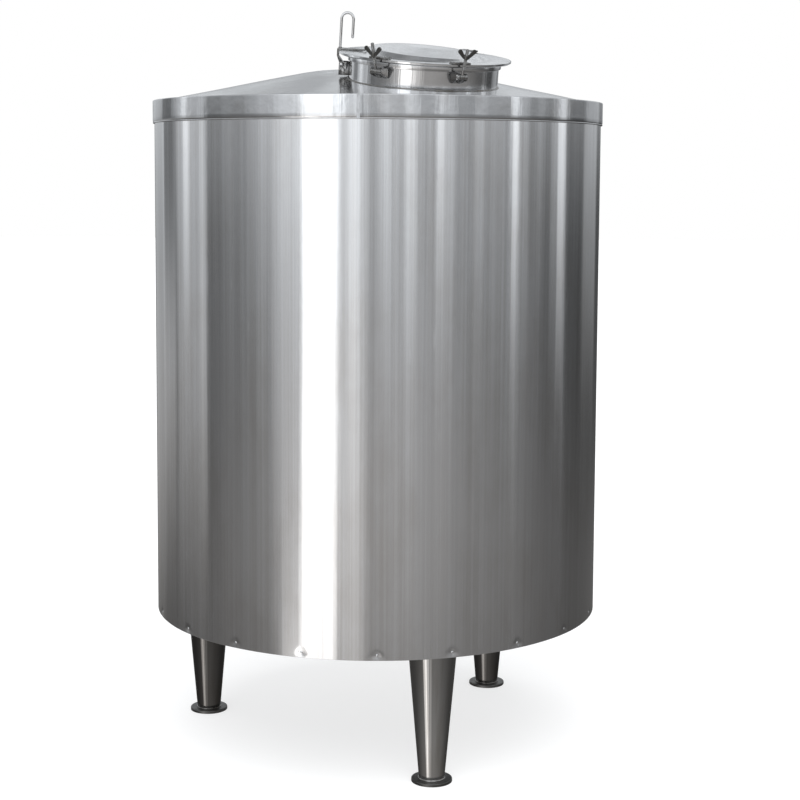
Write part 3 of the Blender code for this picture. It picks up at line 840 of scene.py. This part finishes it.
class TANK_OT_roof(Operator):
    """Spreads the roof's sheet between its edge and the manway's hole, and welds the neck to it"""

    bl_idname = "tank.roof"
    bl_label = "Roof"
    around = 288  # faces round the manway's hole
    across = 60  # faces from the hole out to the roof's edge

    def execute(self, context):
        shell, manway = context.scene.tank_shell, context.scene.tank_manway
        place = manway_frame()
        mesh = self.sheet(shell, manway, place)
        nodes = ["roof", "roof_middle"]
        made = piece("roof_sheet", mesh, "roof_steel", "tank", replaced=nodes)
        thick = made.modifiers.new("Sheet", "SOLIDIFY")
        thick.thickness = 0.0035
        thick.offset = -1
        route = []
        for turn in run(0, tau, self.around)[:-1]:
            lift = 0.0012 + 0.0006 * sin(29 * turn) * sin(47 * turn + 1)
            route.append(neck_meets_roof(turn, manway.neck_radius + lift, shell, place))
        curve = tube("neck_weld", route, 0.0022, closed=True)
        piece("neck_weld", curve, "weld_steel", "tank")
        return {"FINISHED"}

    def sheet(self, shell, manway, place):
        """The roof's upper side, in rows of faces that run out from the hole."""
        edge, centre = ROOF_HIGH.x, place.translation.xy
        points = []
        for turn in run(0, tau, self.around)[:-1]:
            start = neck_meets_roof(turn, manway.neck_radius + GAP, shell, place).xy
            away = (start - centre).normalized()
            along = centre.dot(away)
            end = centre + away * (-along + sqrt(along**2 - centre.length_squared + edge**2))
            for k in range(self.across + 1):
                spot = start.lerp(end, k / self.across)
                loose = sin(pi * k / self.across) ** 0.5 * shell.roof_wave
                uneven = loose * (roof_wave(*spot) - 1.0) * 0.5
                points.append((*spot, self.bent(spot.length, shell) + uneven))
        row = self.across + 1
        faces = []
        for i in range(self.around):
            j = (i + 1) % self.around
            near, far = i * row, j * row
            faces += [(near + k, near + k + 1, far + k + 1, far + k) for k in range(self.across)]
        mesh = bpy.data.meshes.new("roof_sheet")
        mesh.from_pydata(points, [], faces)
        smooth_mesh(mesh)
        return mesh

    def bent(self, radius, shell):
        """The roof's height with a soft bend round its flat middle."""
        soft = 0.012 * exp(-(((radius - shell.roof_flat) / 0.02) ** 2)) * shell.roof_slope * 0.5
        return roof_height(radius, shell) - soft


class TANK_OT_neck(Operator):
    """Turns the manway's neck and the collar round its top"""

    bl_idname = "tank.neck"
    bl_label = "Manway neck"

    def execute(self, context):
        manway = context.scene.tank_manway
        place = manway_frame()
        inner = manway.neck_radius - manway.neck_sheet

        def warp(radius, turn, height):
            uneven = 0.0006 * (sin(4 * turn + 0.6) * sin(7 * turn) - 1) * 0.5
            return radius + uneven, turn, height

        outer_side = [(manway.neck_radius, z) for z in run(manway.neck_top, manway.neck_low, 14)]
        profile = eased([*outer_side, (inner, manway.neck_low), (inner, manway.neck_top)], 0.0012, 2)
        mesh = lathe("neck", profile, manway.steps, warp=warp)
        piece("neck", mesh, "polished_steel", "tank", place, ["manway_neck"])
        near = manway.neck_radius + GAP
        collar = ring(near, manway.collar_radius, manway.collar_low, manway.neck_top, 0.0014)
        mesh = lathe("collar", collar, manway.steps)
        piece("collar", mesh, "polished_steel", "tank", place, ["neck_collar"])
        return {"FINISHED"}


class TANK_OT_lid(Operator):
    """Presses the lid's plate, curls its rim and lays the gasket under it"""

    bl_idname = "tank.lid"
    bl_label = "Lid"

    def execute(self, context):
        manway = context.scene.tank_manway
        for name, mesh, finish, node in (
            ("lid_pressing", self.plate(manway), "polished_steel", "lid_plate"),
            ("lid_rolled_rim", self.rim(manway), "polished_steel", "lid_rim"),
            ("gasket", self.gasket(manway), "gasket_rubber", "lid_gasket"),
        ):
            piece(name, mesh, finish, "lid", manway_frame(), [node])
        return {"FINISHED"}

    def plate(self, manway):
        """A flat edge, a groove and a raised middle that slopes down to one side."""
        top, sheet, groove = manway.lid_top, manway.lid_sheet, manway.lid_groove
        under = top - sheet
        plate_radius = manway.lid_radius - manway.rim_sheet - GAP
        step = manway.dome_radius + manway.dome_step
        high = top + manway.dome_rise
        groove_in, groove_out, flat = step + 0.005, step + 0.009, step + 0.015
        upper = [
            (0, high),
            (manway.dome_radius * 0.5, high),
            (manway.dome_radius, high - 0.0004),
            (step, top),
            (groove_in, top - groove),
            (groove_out, top - groove),
            (flat, top),
            (plate_radius, top),
        ]
        lower = [
            (plate_radius, under),
            (flat, under),
            (groove_out, under - groove),
            (step + sheet, under - groove),
            (manway.dome_radius, high - sheet),
            (0, high - sheet),
        ]

        def warp(radius, turn, height):
            level = top if height > top else under
            if radius > step or height <= level or (radius > manway.dome_radius and height < top):
                return radius, turn, height
            lowered = (1 + radius * cos(turn - manway.lean_turn) / step) / 2
            return radius, turn, level + (height - level) * (1 - manway.dome_lean * lowered)

        profile = eased([*upper, *lower], 0.006, 4, closed=False)
        return lathe("lid_plate", profile, manway.steps, closed=False, warp=warp)

    def rim(self, manway):
        top, rounding, curl = manway.lid_top, manway.rim_round, manway.rim_curl
        curl_centre = (manway.lid_radius - curl, manway.rim_low + curl)
        profile = [
            *arc((manway.lid_radius - rounding, top - rounding), rounding, 110, 0, 8),
            *arc(curl_centre, curl, 0, -90, 12),
            *arc(curl_centre, curl - manway.rim_sheet, -90, 0, 8),
            (manway.lid_radius - manway.rim_sheet, top - 0.0010),
        ]
        return lathe("lid_rim", profile, manway.steps)

    def gasket(self, manway):
        low, high = manway.neck_top + GAP, manway.lid_top - manway.lid_sheet - GAP
        outside, inside = manway.gasket_outside, manway.gasket_inside
        bulge = (outside + 0.0006, (low + high) / 2)
        section = [(outside, high), bulge, (outside, low), (inside, low), (inside, high)]
        return lathe("gasket", eased(section, 0.0012), manway.steps)


class TANK_OT_hinge(Operator):
    """Makes the hinge's bracket, its pin and the strap over the lid's rim"""

    bl_idname = "tank.hinge"
    bl_label = "Hinge"

    def execute(self, context):
        fittings = context.scene.tank_fittings
        place = manway_frame() @ turned_at(fittings.hinge_turn)
        for name, node, body, rounding in (
            ("hinge_bracket_plate", "hinge_bracket", "tank", 0.0008),
            ("strap", "hinge_strap", "lid", 0.0010),
        ):
            mesh = eased_node(node, rounding)
            piece(name, mesh, "fitting_steel", body, replaced=[node])
        radius, half = fittings.hinge_pin, fittings.hinge_half
        head, under_head = radius + 0.0022, -half + 0.0028
        tip, inner, outer = 0.0008, 0.0010, 0.0012  # roundings
        profile = [
            (0, half),
            *arc((radius - tip, half - tip), tip, 90, 0, 3),
            (radius, under_head),
            *arc((head - inner, under_head - inner), inner, 90, 0, 3),
            *arc((head - outer, -half + outer), outer, 0, -90, 3),
            (0, -half),
        ]
        across = Matrix.Translation((0, -fittings.hinge_radius, fittings.hinge_height))
        place_pin = place @ across @ Matrix.Rotation(pi / 2, 4, "Y")
        mesh = lathe("hinge_bolt", profile, 32, closed=False)
        piece("hinge_bolt", mesh, "polished_steel", "tank", place_pin, ["hinge_pin"])
        return {"FINISHED"}


class TANK_OT_rod(Operator):
    """Bends the J-shaped rod that stands on the hinge's strap"""

    bl_idname = "tank.rod"
    bl_label = "J-shaped rod"

    def execute(self, context):
        fittings = context.scene.tank_fittings
        place = manway_frame() @ turned_at(fittings.hinge_turn)
        radius, bend = fittings.rod_radius, fittings.rod_bend
        foot, tip = fittings.rod_foot, fittings.rod_tip
        end = foot - 2 * bend
        route = [(foot, z) for z in run(fittings.rod_low, fittings.rod_bend_height, 8)[:-1]]
        route += arc((foot - bend, fittings.rod_bend_height), bend, 0, 180, 28)
        route += [(end, z) for z in run(fittings.rod_bend_height, tip + radius, 6)[1:]]
        nose = [radians(t) for t in (30, 55, 75, 88)]  # rounds the free end
        route += [(end, tip + radius * (1 - sin(t))) for t in nose]
        curve = tube("lid_rod", [(0, -out, up) for out, up in route], radius, resolution=6)
        for point, t in zip(curve.splines[0].points[-len(nose):], nose):
            point.radius = cos(t)
        piece("lid_rod", curve, "polished_steel", "lid", place, ["lid_stay"])
        around, height = radius * 1.1, fittings.rod_low + 0.0004
        seat = [(around * sin(t), -foot + around * cos(t), height) for t in run(0, tau, 24)[:-1]]
        curve = tube("rod_weld", seat, 0.0012, closed=True)
        piece("rod_weld", curve, "weld_steel", "lid", place)
        return {"FINISHED"}


def clamp_settings(fittings):
    """Each clamp's turn round the manway, its bolt's lean and its nut's height on the bolt."""
    return [
        (fittings.front_left, fittings.slack, fittings.nut_low_left),
        (fittings.front_right, fittings.slack, fittings.nut_low_right),
        (fittings.rear_right, fittings.open, fittings.nut_low_rear),
        (fittings.rear_left, fittings.open, fittings.nut_low_rear),
    ]


class TANK_OT_clamp_ears(Operator):
    """Rounds the ears that carry the swing bolts, with a washer on each pivot's end"""

    bl_idname = "tank.clamp_ears"
    bl_label = "Clamp ears"

    def execute(self, context):
        fittings = context.scene.tank_fittings
        bore, edge, half, rounding = 0.0040, 0.0068, 0.0006, 0.0003
        disc = lathe("washer", ring(bore, edge, -half, half, rounding), 24)
        for number, (turn, _, _) in enumerate(clamp_settings(fittings), 1):
            node = f"clamp_ears_{number}"
            mesh = eased_node(node, 0.0009)
            piece(f"ears_{number}", mesh, "fitting_steel", "tank", replaced=[node])
            place = manway_frame() @ turned_at(turn)
            meshes = []
            for side in (-1, 1):
                at = (side * fittings.pivot_half, -fittings.pivot_radius, fittings.pivot_height)
                meshes.append((disc, Matrix.Translation(at) @ Matrix.Rotation(pi / 2, 4, "Y")))
            washers = joined(f"pivot_washers_{number}", meshes)
            piece(f"pivot_washers_{number}", washers, "polished_steel", "tank", place)
        return {"FINISHED"}


class TANK_OT_forks(Operator):
    """Rounds the slotted plates on the lid and welds them down"""

    bl_idname = "tank.forks"
    bl_label = "Forks"

    def execute(self, context):
        manway = context.scene.tank_manway
        for number, (turn, _, _) in enumerate(clamp_settings(context.scene.tank_fittings), 1):
            node = f"lid_fork_{number}"
            mesh = eased_node(node, 0.0012)
            piece(f"fork_{number}", mesh, "fitting_steel", "lid", replaced=[node])
            place = manway_frame() @ turned_at(turn)
            half, back, front = 0.0245, -0.2278, -0.2440
            corners = [(-half, front), (-half, back), (half, back), (half, front)]
            route = [(x, y, manway.lid_top + 0.0008) for x, y in corners]
            curve = tube(f"fork_weld_{number}", route, 0.0016)
            piece(f"fork_weld_{number}", curve, "weld_steel", "lid", place)
        return {"FINISHED"}


def pivot_frame(fittings, turn, lean):
    """A swing bolt's own frame: +Z is along the bolt and X along the pivot."""
    at = Matrix.Translation((0, -fittings.pivot_radius, fittings.pivot_height))
    return manway_frame() @ turned_at(turn) @ at @ Matrix.Rotation(lean, 4, "X")


class TANK_OT_bolts(Operator):
    """Cuts the threads of the swing bolts and makes their eyes"""

    bl_idname = "tank.bolts"
    bl_label = "Swing bolts"

    def execute(self, context):
        fittings = context.scene.tank_fittings
        radius, pitch, depth = fittings.bolt_radius, fittings.thread_pitch, fittings.thread_depth
        foot, plain_top, end = 0.0068, 0.024, fittings.bolt_end
        core, chamfer, rows_a_turn = radius - depth * 0.6, 0.0009, 5

        def warp(r, turn, height):
            """Cuts the thread over the plain part."""
            if height < plain_top or r < radius * 0.9:
                return r, turn, height
            phase = (height / pitch - turn / tau) % 1
            return r - depth * abs(2 * phase - 1), turn, height

        rows = ceil((end - plain_top) / pitch * rows_a_turn)
        profile = [(0, end), (radius * 0.78, end)]
        profile += [(radius, z) for z in run(end - chamfer, plain_top, rows)]
        profile += [(core, plain_top - 0.0012), (core, foot), (0, foot)]
        shank = lathe("shank", profile, 20, closed=False, warp=warp)
        half = fittings.eye_half
        eye = lathe("eye", ring(fittings.bore_radius, fittings.eye_radius, -half, half, 0.0012), 40)
        lying = Matrix.Rotation(pi / 2, 4, "Y")
        for number, (turn, lean, _) in enumerate(clamp_settings(fittings), 1):
            mesh = joined(f"bolt_{number}", [(shank, Matrix.Identity(4)), (eye, lying)])
            place = pivot_frame(fittings, turn, lean)
            body, node = f"clamp_{number}", f"swing_bolt_{number}"
            piece(f"bolt_{number}", mesh, "fitting_steel", body, place, [node])
        return {"FINISHED"}


class TANK_OT_nuts(Operator):
    """Casts the wing nuts: a tapered hub and two wings, melted together"""

    bl_idname = "tank.nuts"
    bl_label = "Wing nuts"

    def execute(self, context):
        fittings = context.scene.tank_fittings
        casting = self.casting(fittings)
        for number, (turn, lean, nut_low) in enumerate(clamp_settings(fittings), 1):
            place = pivot_frame(fittings, turn, lean) @ Matrix.Translation((0, 0, nut_low))
            body, node = f"clamp_{number}", f"wing_nut_{number}"
            piece(f"nut_{number}", casting.copy(), "cast_steel", body, place, [node])
        return {"FINISHED"}

    def casting(self, fittings):
        bore = fittings.bolt_radius + GAP
        top, foot = fittings.nut_height, fittings.nut_radius
        section = [(fittings.nut_top_radius, top), (foot, 0), (bore, 0), (bore, top)]
        hub = lathe("hub", eased(section, 0.0012), 40)
        inset = 0.0010  # of a wing's root inside the hub
        tip, root = fittings.wing_tip, bore + inset
        round_tip = arc((fittings.wing_span - tip, fittings.wing_rise + tip), tip, -30, 150, 14)
        outline = [(root, inset), (foot + inset, inset), *round_tip, (root, top - inset)]
        half = fittings.wing_sheet / 2 - GAP
        meshes = [(hub, Matrix.Identity(4))]
        for side in (-1, 1):
            wing = extruded("wing", [(side * x, z) for x, z in outline], -half, half)
            meshes.append((wing, Matrix.Identity(4)))
        shape = bpy.data.objects.new("casting", joined("wing_nut", meshes))
        bpy.context.scene.collection.objects.link(shape)
        fused = shape.modifiers.new("Fused", "REMESH")
        fused.mode = "VOXEL"
        fused.voxel_size = 0.00055
        soft = shape.modifiers.new("Soft", "SMOOTH")
        soft.factor = 0.5
        soft.iterations = 5
        casting = modified(shape)
        bpy.data.objects.remove(shape)
        casting.shade_smooth()
        return casting


def leg_radius(legs, height):
    return legs.foot_radius + legs.taper * (height - legs.plate_height)


class TANK_OT_legs(Operator):
    """Turns the tapered legs and their foot plates, and welds them"""

    bl_idname = "tank.legs"
    bl_label = "Legs"

    def execute(self, context):
        shell, legs = context.scene.tank_shell, context.scene.tank_legs
        for number in range(1, LEG_COUNT + 1):
            turn = legs.turn + (number - 1) * tau / LEG_COUNT
            at = Vector((legs.circle * sin(turn), -legs.circle * cos(turn), 0))
            place = Matrix.Translation(at)
            # The rear legs and their welds take the darker copy of the leg steel: painted shade
            finish = "leg_steel" if number == 1 else "back_legs_painted_shade_steel"
            mesh = self.leg_tube(f"leg_tube_{number}", at, shell, legs)
            piece(mesh.name, mesh, finish, "tank", place, [f"leg_{number}"])
            mesh = self.foot(f"foot_{number}", legs)
            piece(mesh.name, mesh, "cast_steel", "tank", place, [f"foot_plate_{number}"])
            on_plate, under_cover = legs.plate_height + 0.0008, COVER_LOW.z - 0.0008
            for word, height, bead in (("foot", on_plate, 0.0024), ("cover", under_cover, 0.0026)):
                around = leg_radius(legs, height) + 0.0004
                route = []
                for spin in run(0, tau, 72)[:-1]:
                    wobble = around + 0.0004 * sin(23 * spin + number) * sin(31 * spin)
                    route.append((wobble * sin(spin), -wobble * cos(spin), height))
                name = f"{word}_weld_{number}"
                piece(name, tube(name, route, bead, closed=True), finish, "tank", place)
        return {"FINISHED"}

    def leg_tube(self, name, at, shell, legs):
        """A leg whose top follows the vessel's bottom."""
        high, low = 0.480, legs.plate_height + GAP
        trimmed = 0.03

        def warp(radius, spin, height):
            if height < high:
                return radius, spin, height
            away = hypot(at.x + radius * sin(spin), at.y - radius * cos(spin))
            return radius, spin, bottom_height(away, shell) - shell.vessel_sheet - GAP

        profile = [(0, high), (leg_radius(legs, high), high)]
        profile += [(leg_radius(legs, z), z) for z in run(high - trimmed, low, 12)]
        profile += [(0, low)]
        return lathe(name, profile, legs.steps, closed=False, warp=warp)

    def foot(self, name, legs):
        edge, thick = legs.plate_radius, legs.plate_height
        rounding, chamfer = 0.003, 0.001
        profile = [
            (0, thick),
            *arc((edge - rounding, thick - rounding), rounding, 90, 0, 6),
            *arc((edge - chamfer, chamfer), chamfer, 0, -90, 3),
            (0, 0),
        ]
        return lathe(name, profile, legs.steps, closed=False)


class TANK_OT_vessel(Operator):
    """Rolls the vessel inside the jacket, and turns its outlet"""

    bl_idname = "tank.vessel"
    bl_label = "Vessel and outlet"

    def execute(self, context):
        shell = context.scene.tank_shell
        outside, sheet = BOTTOM_HIGH.x, shell.vessel_sheet
        inside, edge = outside - sheet, BOTTOM_HIGH.z
        pipe = OUTLET_HIGH.x - shell.flange_reach
        hole = pipe + GAP
        profile = [
            (outside, WALL_HIGH.z),
            *[(outside, z) for z in run(WALL_HIGH.z - 0.1, edge, 8)],
            (outside, edge - sheet),
            (hole, bottom_height(hole, shell) - sheet),
            (hole, bottom_height(hole, shell)),
            (inside - 0.012, bottom_height(inside - 0.012, shell)),
            (inside - 0.003, edge + 0.003),
            (inside, edge + 0.013),
            *[(inside, z) for z in run(edge + 0.1, WALL_HIGH.z, 8)],
        ]
        mesh = lathe("vessel", profile, 240)
        nodes = [*quarters("vessel_wall"), "vessel_bottom"]
        piece("vessel", mesh, "vessel_steel", "tank", replaced=nodes)
        bore, flange = pipe - 0.003, OUTLET_HIGH.x
        end, top, chamfer = OUTLET_LOW.z, OUTLET_HIGH.z, 0.0004
        stub = [
            (pipe, top),
            (pipe, end + 0.0075),
            (flange - 0.0006, end + 0.0036),
            (flange, end + 0.0030),
            (flange, end + chamfer),
            (flange - chamfer, end),
            (bore + chamfer, end),
            (bore, end + chamfer),
            (bore, top),
        ]
        mesh = lathe("outlet", stub, 96)
        piece("outlet", mesh, "polished_steel", "tank", replaced=["outlet_stub"])
        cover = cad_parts["bottom_cover"].data
        cover.materials.clear()
        cover.materials.append(bpy.data.materials["roof_steel_look"])
        return {"FINISHED"}


# Light panels round the tank: turn from the front, half width and softness in degrees, brightness, and the
# slope of view below which the panel ends; -1 reaches the floor
LIGHT_PANELS = (
    (-48.5, 6.5, 4, 1.5, -1),
    (-66, 2, 22, 0.36, 0.02),
    (-62, 1, 12, 0.15, -1),
    (-34.5, 4, 8, 0.32, -1),
    (-31, 1, 2.5, 0.40, -0.12),
    (-15.5, 1, 2.5, 0.45, 0.0),
    (-3.5, 1.2, 2.5, 0.60, 0.0),
    (11.5, 0.6, 2, 1.20, 0.04),
    (16.5, 1.2, 2, 0.30, -0.02),
    (32, 1.5, 2.5, 0.35, 0.02),
    (42, 3, 3, 0.15, 0.0),
    (52.5, 0.8, 2.2, 1.40, 0.01),
    (58, 1.5, 2.5, 0.25, 0.0),
    (69, 2, 2.5, 0.25, 0.04),
    (80, 1, 3, 0.30, 0.0),
    (86.5, 1.5, 3, 1.10, -0.01),
    (121, 9, 4, 0.32, -0.03),
    (-173, 9, 5, 0.38, -0.16),
    (-153, 7, 3, 0.50, -0.13),
    (-129, 11, 5, 0.42, -0.14),
    (-132.5, 1.2, 2.5, 1.00, 0.03),
    (-117.5, 1.5, 2, 0.18, -0.10),
)
# A dark screen between the panels, in the same terms; the brightness is what it takes away
DARK_SCREEN = (-152.5, 6, 3, 0.58, 0.0)
# A panel and a screen close to the floor, which the legs mirror
LOW_PANEL = (-61, 5, 4, 1.15, -1)
LOW_SCREEN = (-44, 3.5, 4, 0.8, -1)


class TANK_OT_studio(Operator):
    """Sets up the pale floor, the soft light round the tank and the camera"""

    bl_idname = "tank.studio"
    bl_label = "Studio"

    def execute(self, context):
        scene = context.scene
        self.add_camera(scene, scene.tank_studio)
        self.add_floor(scene, scene.tank_studio)
        self.add_world(scene, scene.tank_studio)
        self.add_lamp(scene, scene.tank_studio)
        scene.view_settings.view_transform = "Standard"
        return {"FINISHED"}

    def add_camera(self, scene, studio):
        data = bpy.data.cameras.new("camera")
        data.lens = studio.lens
        data.shift_y = studio.shift
        camera = bpy.data.objects.new("camera", data)
        scene.collection.objects.link(camera)
        camera.location = turned_at(studio.turn) @ Vector((0, -studio.distance, studio.height))
        camera.rotation_euler = (studio.tilt, studio.roll, studio.heading)
        scene.camera = camera

    def add_floor(self, scene, studio):
        bm = bmesh.new()
        bmesh.ops.create_circle(bm, cap_ends=True, radius=studio.floor_radius, segments=96)
        mesh = bpy.data.meshes.new("floor")
        bm.to_mesh(mesh)
        bm.free()
        floor = bpy.data.objects.new("floor", mesh)
        scene.collection.objects.link(floor)
        floor.location.z = -GAP
        shader, sockets = material("floor")
        darker = tinted(studio.floor_colour, (0.96, 0.96, 0.96))
        clouds = shader.noise((1.5, 1.5, 1.5))
        shader.put(sockets["Base Color"], shader.mix(clouds, studio.floor_colour, darker))
        sockets["Roughness"].default_value = 0.8
        sockets["Emission Color"].default_value = (1, 1, 1, 1)
        sockets["Emission Strength"].default_value = studio.floor_glow
        mesh.materials.append(bpy.data.materials["floor_look"])
        floor.visible_glossy = False

    def add_world(self, scene, studio):
        """The plain backdrop, and the light that only the steel mirrors."""
        world = bpy.data.worlds.new("studio")
        scene.world = world
        shader = Shader(world)
        direction = shader.node("ShaderNodeTexCoord", output="Generated")
        flat = shader.vectors("MULTIPLY", direction, (1, 1, 0))
        level = shader.vectors("NORMALIZE", flat)
        slope = shader.up(direction) / shader.vectors("LENGTH", flat, output="Value").at_least(0.001)
        light = self.mirrored_light(shader, direction, level, slope)
        tint = shader.mix(slope.smooth(-0.28, 0.02), studio.lower_light, studio.upper_light)
        seen = {"Color": tint, "Strength": light.at_least(0.02)}
        mirrored = shader.node("ShaderNodeBackground", None, seen)
        backdrop = shader.node("ShaderNodeBackground", None, {"Color": (*studio.backdrop, 1.0)})
        to_camera = shader.node("ShaderNodeLightPath", output="Is Camera Ray")
        both = shader.node("ShaderNodeMixShader", None, {0: to_camera, 1: mirrored, 2: backdrop})
        shader.put(world.node_tree.nodes["World Output"].inputs["Surface"], both)

    def mirrored_light(self, shader, direction, level, slope):
        """How bright the studio is in each direction."""

        def toward(turn):
            """1 in the direction of the turn, and less to either side."""
            aim = (sin(radians(turn)), -cos(radians(turn)), 0)
            return shader.vectors("DOT_PRODUCT", level, aim, output="Value")

        def panel(turn, half, soft, bright, foot):
            across = toward(turn).smooth(cos(radians(half + soft)), cos(radians(half)), 0, bright)
            if foot <= -1:
                return across
            return across * slope.smooth(foot - 0.14, foot + 0.06)

        walls = toward(-20).smooth(cos(radians(130)), 1, 0.08, 0.35) + toward(-28).smooth(0.5, 1, 0, 0.20)
        walls = walls * slope.smooth(-0.34, 0.0, 0.76, 1.0) * slope.smooth(-0.36, -0.24, 0.35, 1.0)
        ceiling = slope.smooth(-0.04, 0.10, 0.0, 0.40) + slope.smooth(0.10, 0.40, 0.0, 0.30)
        light = walls + ceiling - slope.smooth(0.8, 1.5, 0.0, 0.42)
        # Upright stripes, which fade low down, and an even glow under them
        stripes = shader.noise((24, 24, 24), 4.0, 0.9, level) - 0.5
        light = light * (1 + stripes * slope.smooth(-0.25, 0.02, 0.5, 2.4))
        light = light + slope.smooth(-0.25, -0.12, 0.06, 0.0)
        # A brighter wall behind the tank and mottling high up, which the roof and the lid mirror
        behind = toward(146).smooth(0.87, 0.985) * slope.smooth(0.10, 0.20) * slope.smooth(0.9, 1.4, 1.0, 0.0)
        clouds = shader.noise((7, 7, 16), 3.0, 0.6, direction) - 0.5
        light = (light + behind * 0.12) * (1 + clouds * slope.smooth(0.05, 0.25, 0.0, 3.2))
        under_top = slope.smooth(0.2, 0.7, 1.0, 0.0)
        for settings in LIGHT_PANELS:
            light = light + panel(*settings) * under_top
        light = light - panel(*DARK_SCREEN) * under_top
        light = light + (panel(*LOW_PANEL) - panel(*LOW_SCREEN)) * slope.smooth(-0.36, -0.28, 1.0, 0.0)
        # The floor's glow from below, and a skylight over the front
        light = light + slope.smooth(-0.62, -0.42, 0.26, 0.0)
        skylight = toward(-20).smooth(0.2, 0.9) * slope.smooth(1.1, 1.5) * slope.smooth(2.6, 3.6, 1.0, 0.0)
        return light + skylight * 0.9

    def add_lamp(self, scene, studio):
        """A soft lamp overhead, which the steel doesn't mirror."""
        lamp = bpy.data.lights.new("overhead", "SUN")
        lamp.energy = studio.sun
        lamp.angle = radians(60)
        made = bpy.data.objects.new("overhead", lamp)
        scene.collection.objects.link(made)
        made.rotation_euler = (radians(25), 0, radians(-20))
        made.visible_glossy = False


class TANK_PT_looks(Panel):
    """The tank's operators and their settings"""

    bl_label = "Steel tank"
    bl_idname = "TANK_PT_looks"
    bl_space_type = "VIEW_3D"
    bl_region_type = "UI"
    bl_category = "Tank"

    def draw(self, context):
        for operator in OPERATORS:
            self.layout.operator(operator.bl_idname)
        for name, group in SETTINGS.items():
            box = self.layout.box()
            box.label(text=group.__name__)
            for setting in group.__annotations__:
                box.prop(getattr(context.scene, name), setting)


SETTINGS = {
    "tank_shell": TankShell,
    "tank_manway": Manway,
    "tank_fittings": Fittings,
    "tank_legs": Legs,
    "tank_finishes": Finishes,
    "tank_studio": Studio,
}
OPERATORS = (
    TANK_OT_finishes,
    TANK_OT_studio,
    TANK_OT_jacket,
    TANK_OT_rivets,
    TANK_OT_band,
    TANK_OT_roof,
    TANK_OT_neck,
    TANK_OT_lid,
    TANK_OT_hinge,
    TANK_OT_rod,
    TANK_OT_clamp_ears,
    TANK_OT_forks,
    TANK_OT_bolts,
    TANK_OT_nuts,
    TANK_OT_legs,
    TANK_OT_vessel,
)


def register():
    for made in (*SETTINGS.values(), *OPERATORS, TANK_PT_looks):
        bpy.utils.register_class(made)
    for name, group in SETTINGS.items():
        setattr(bpy.types.Scene, name, PointerProperty(type=group))


def unregister():
    for name in SETTINGS:
        delattr(bpy.types.Scene, name)
    for made in (TANK_PT_looks, *reversed(OPERATORS), *SETTINGS.values()):
        bpy.utils.unregister_class(made)


def main():
    """Registers the add-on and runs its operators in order."""
    register()
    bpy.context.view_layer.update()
    for operator in OPERATORS:
        getattr(bpy.ops.tank, operator.bl_idname.split(".")[1])()


if __name__ == "__main__":
    main()
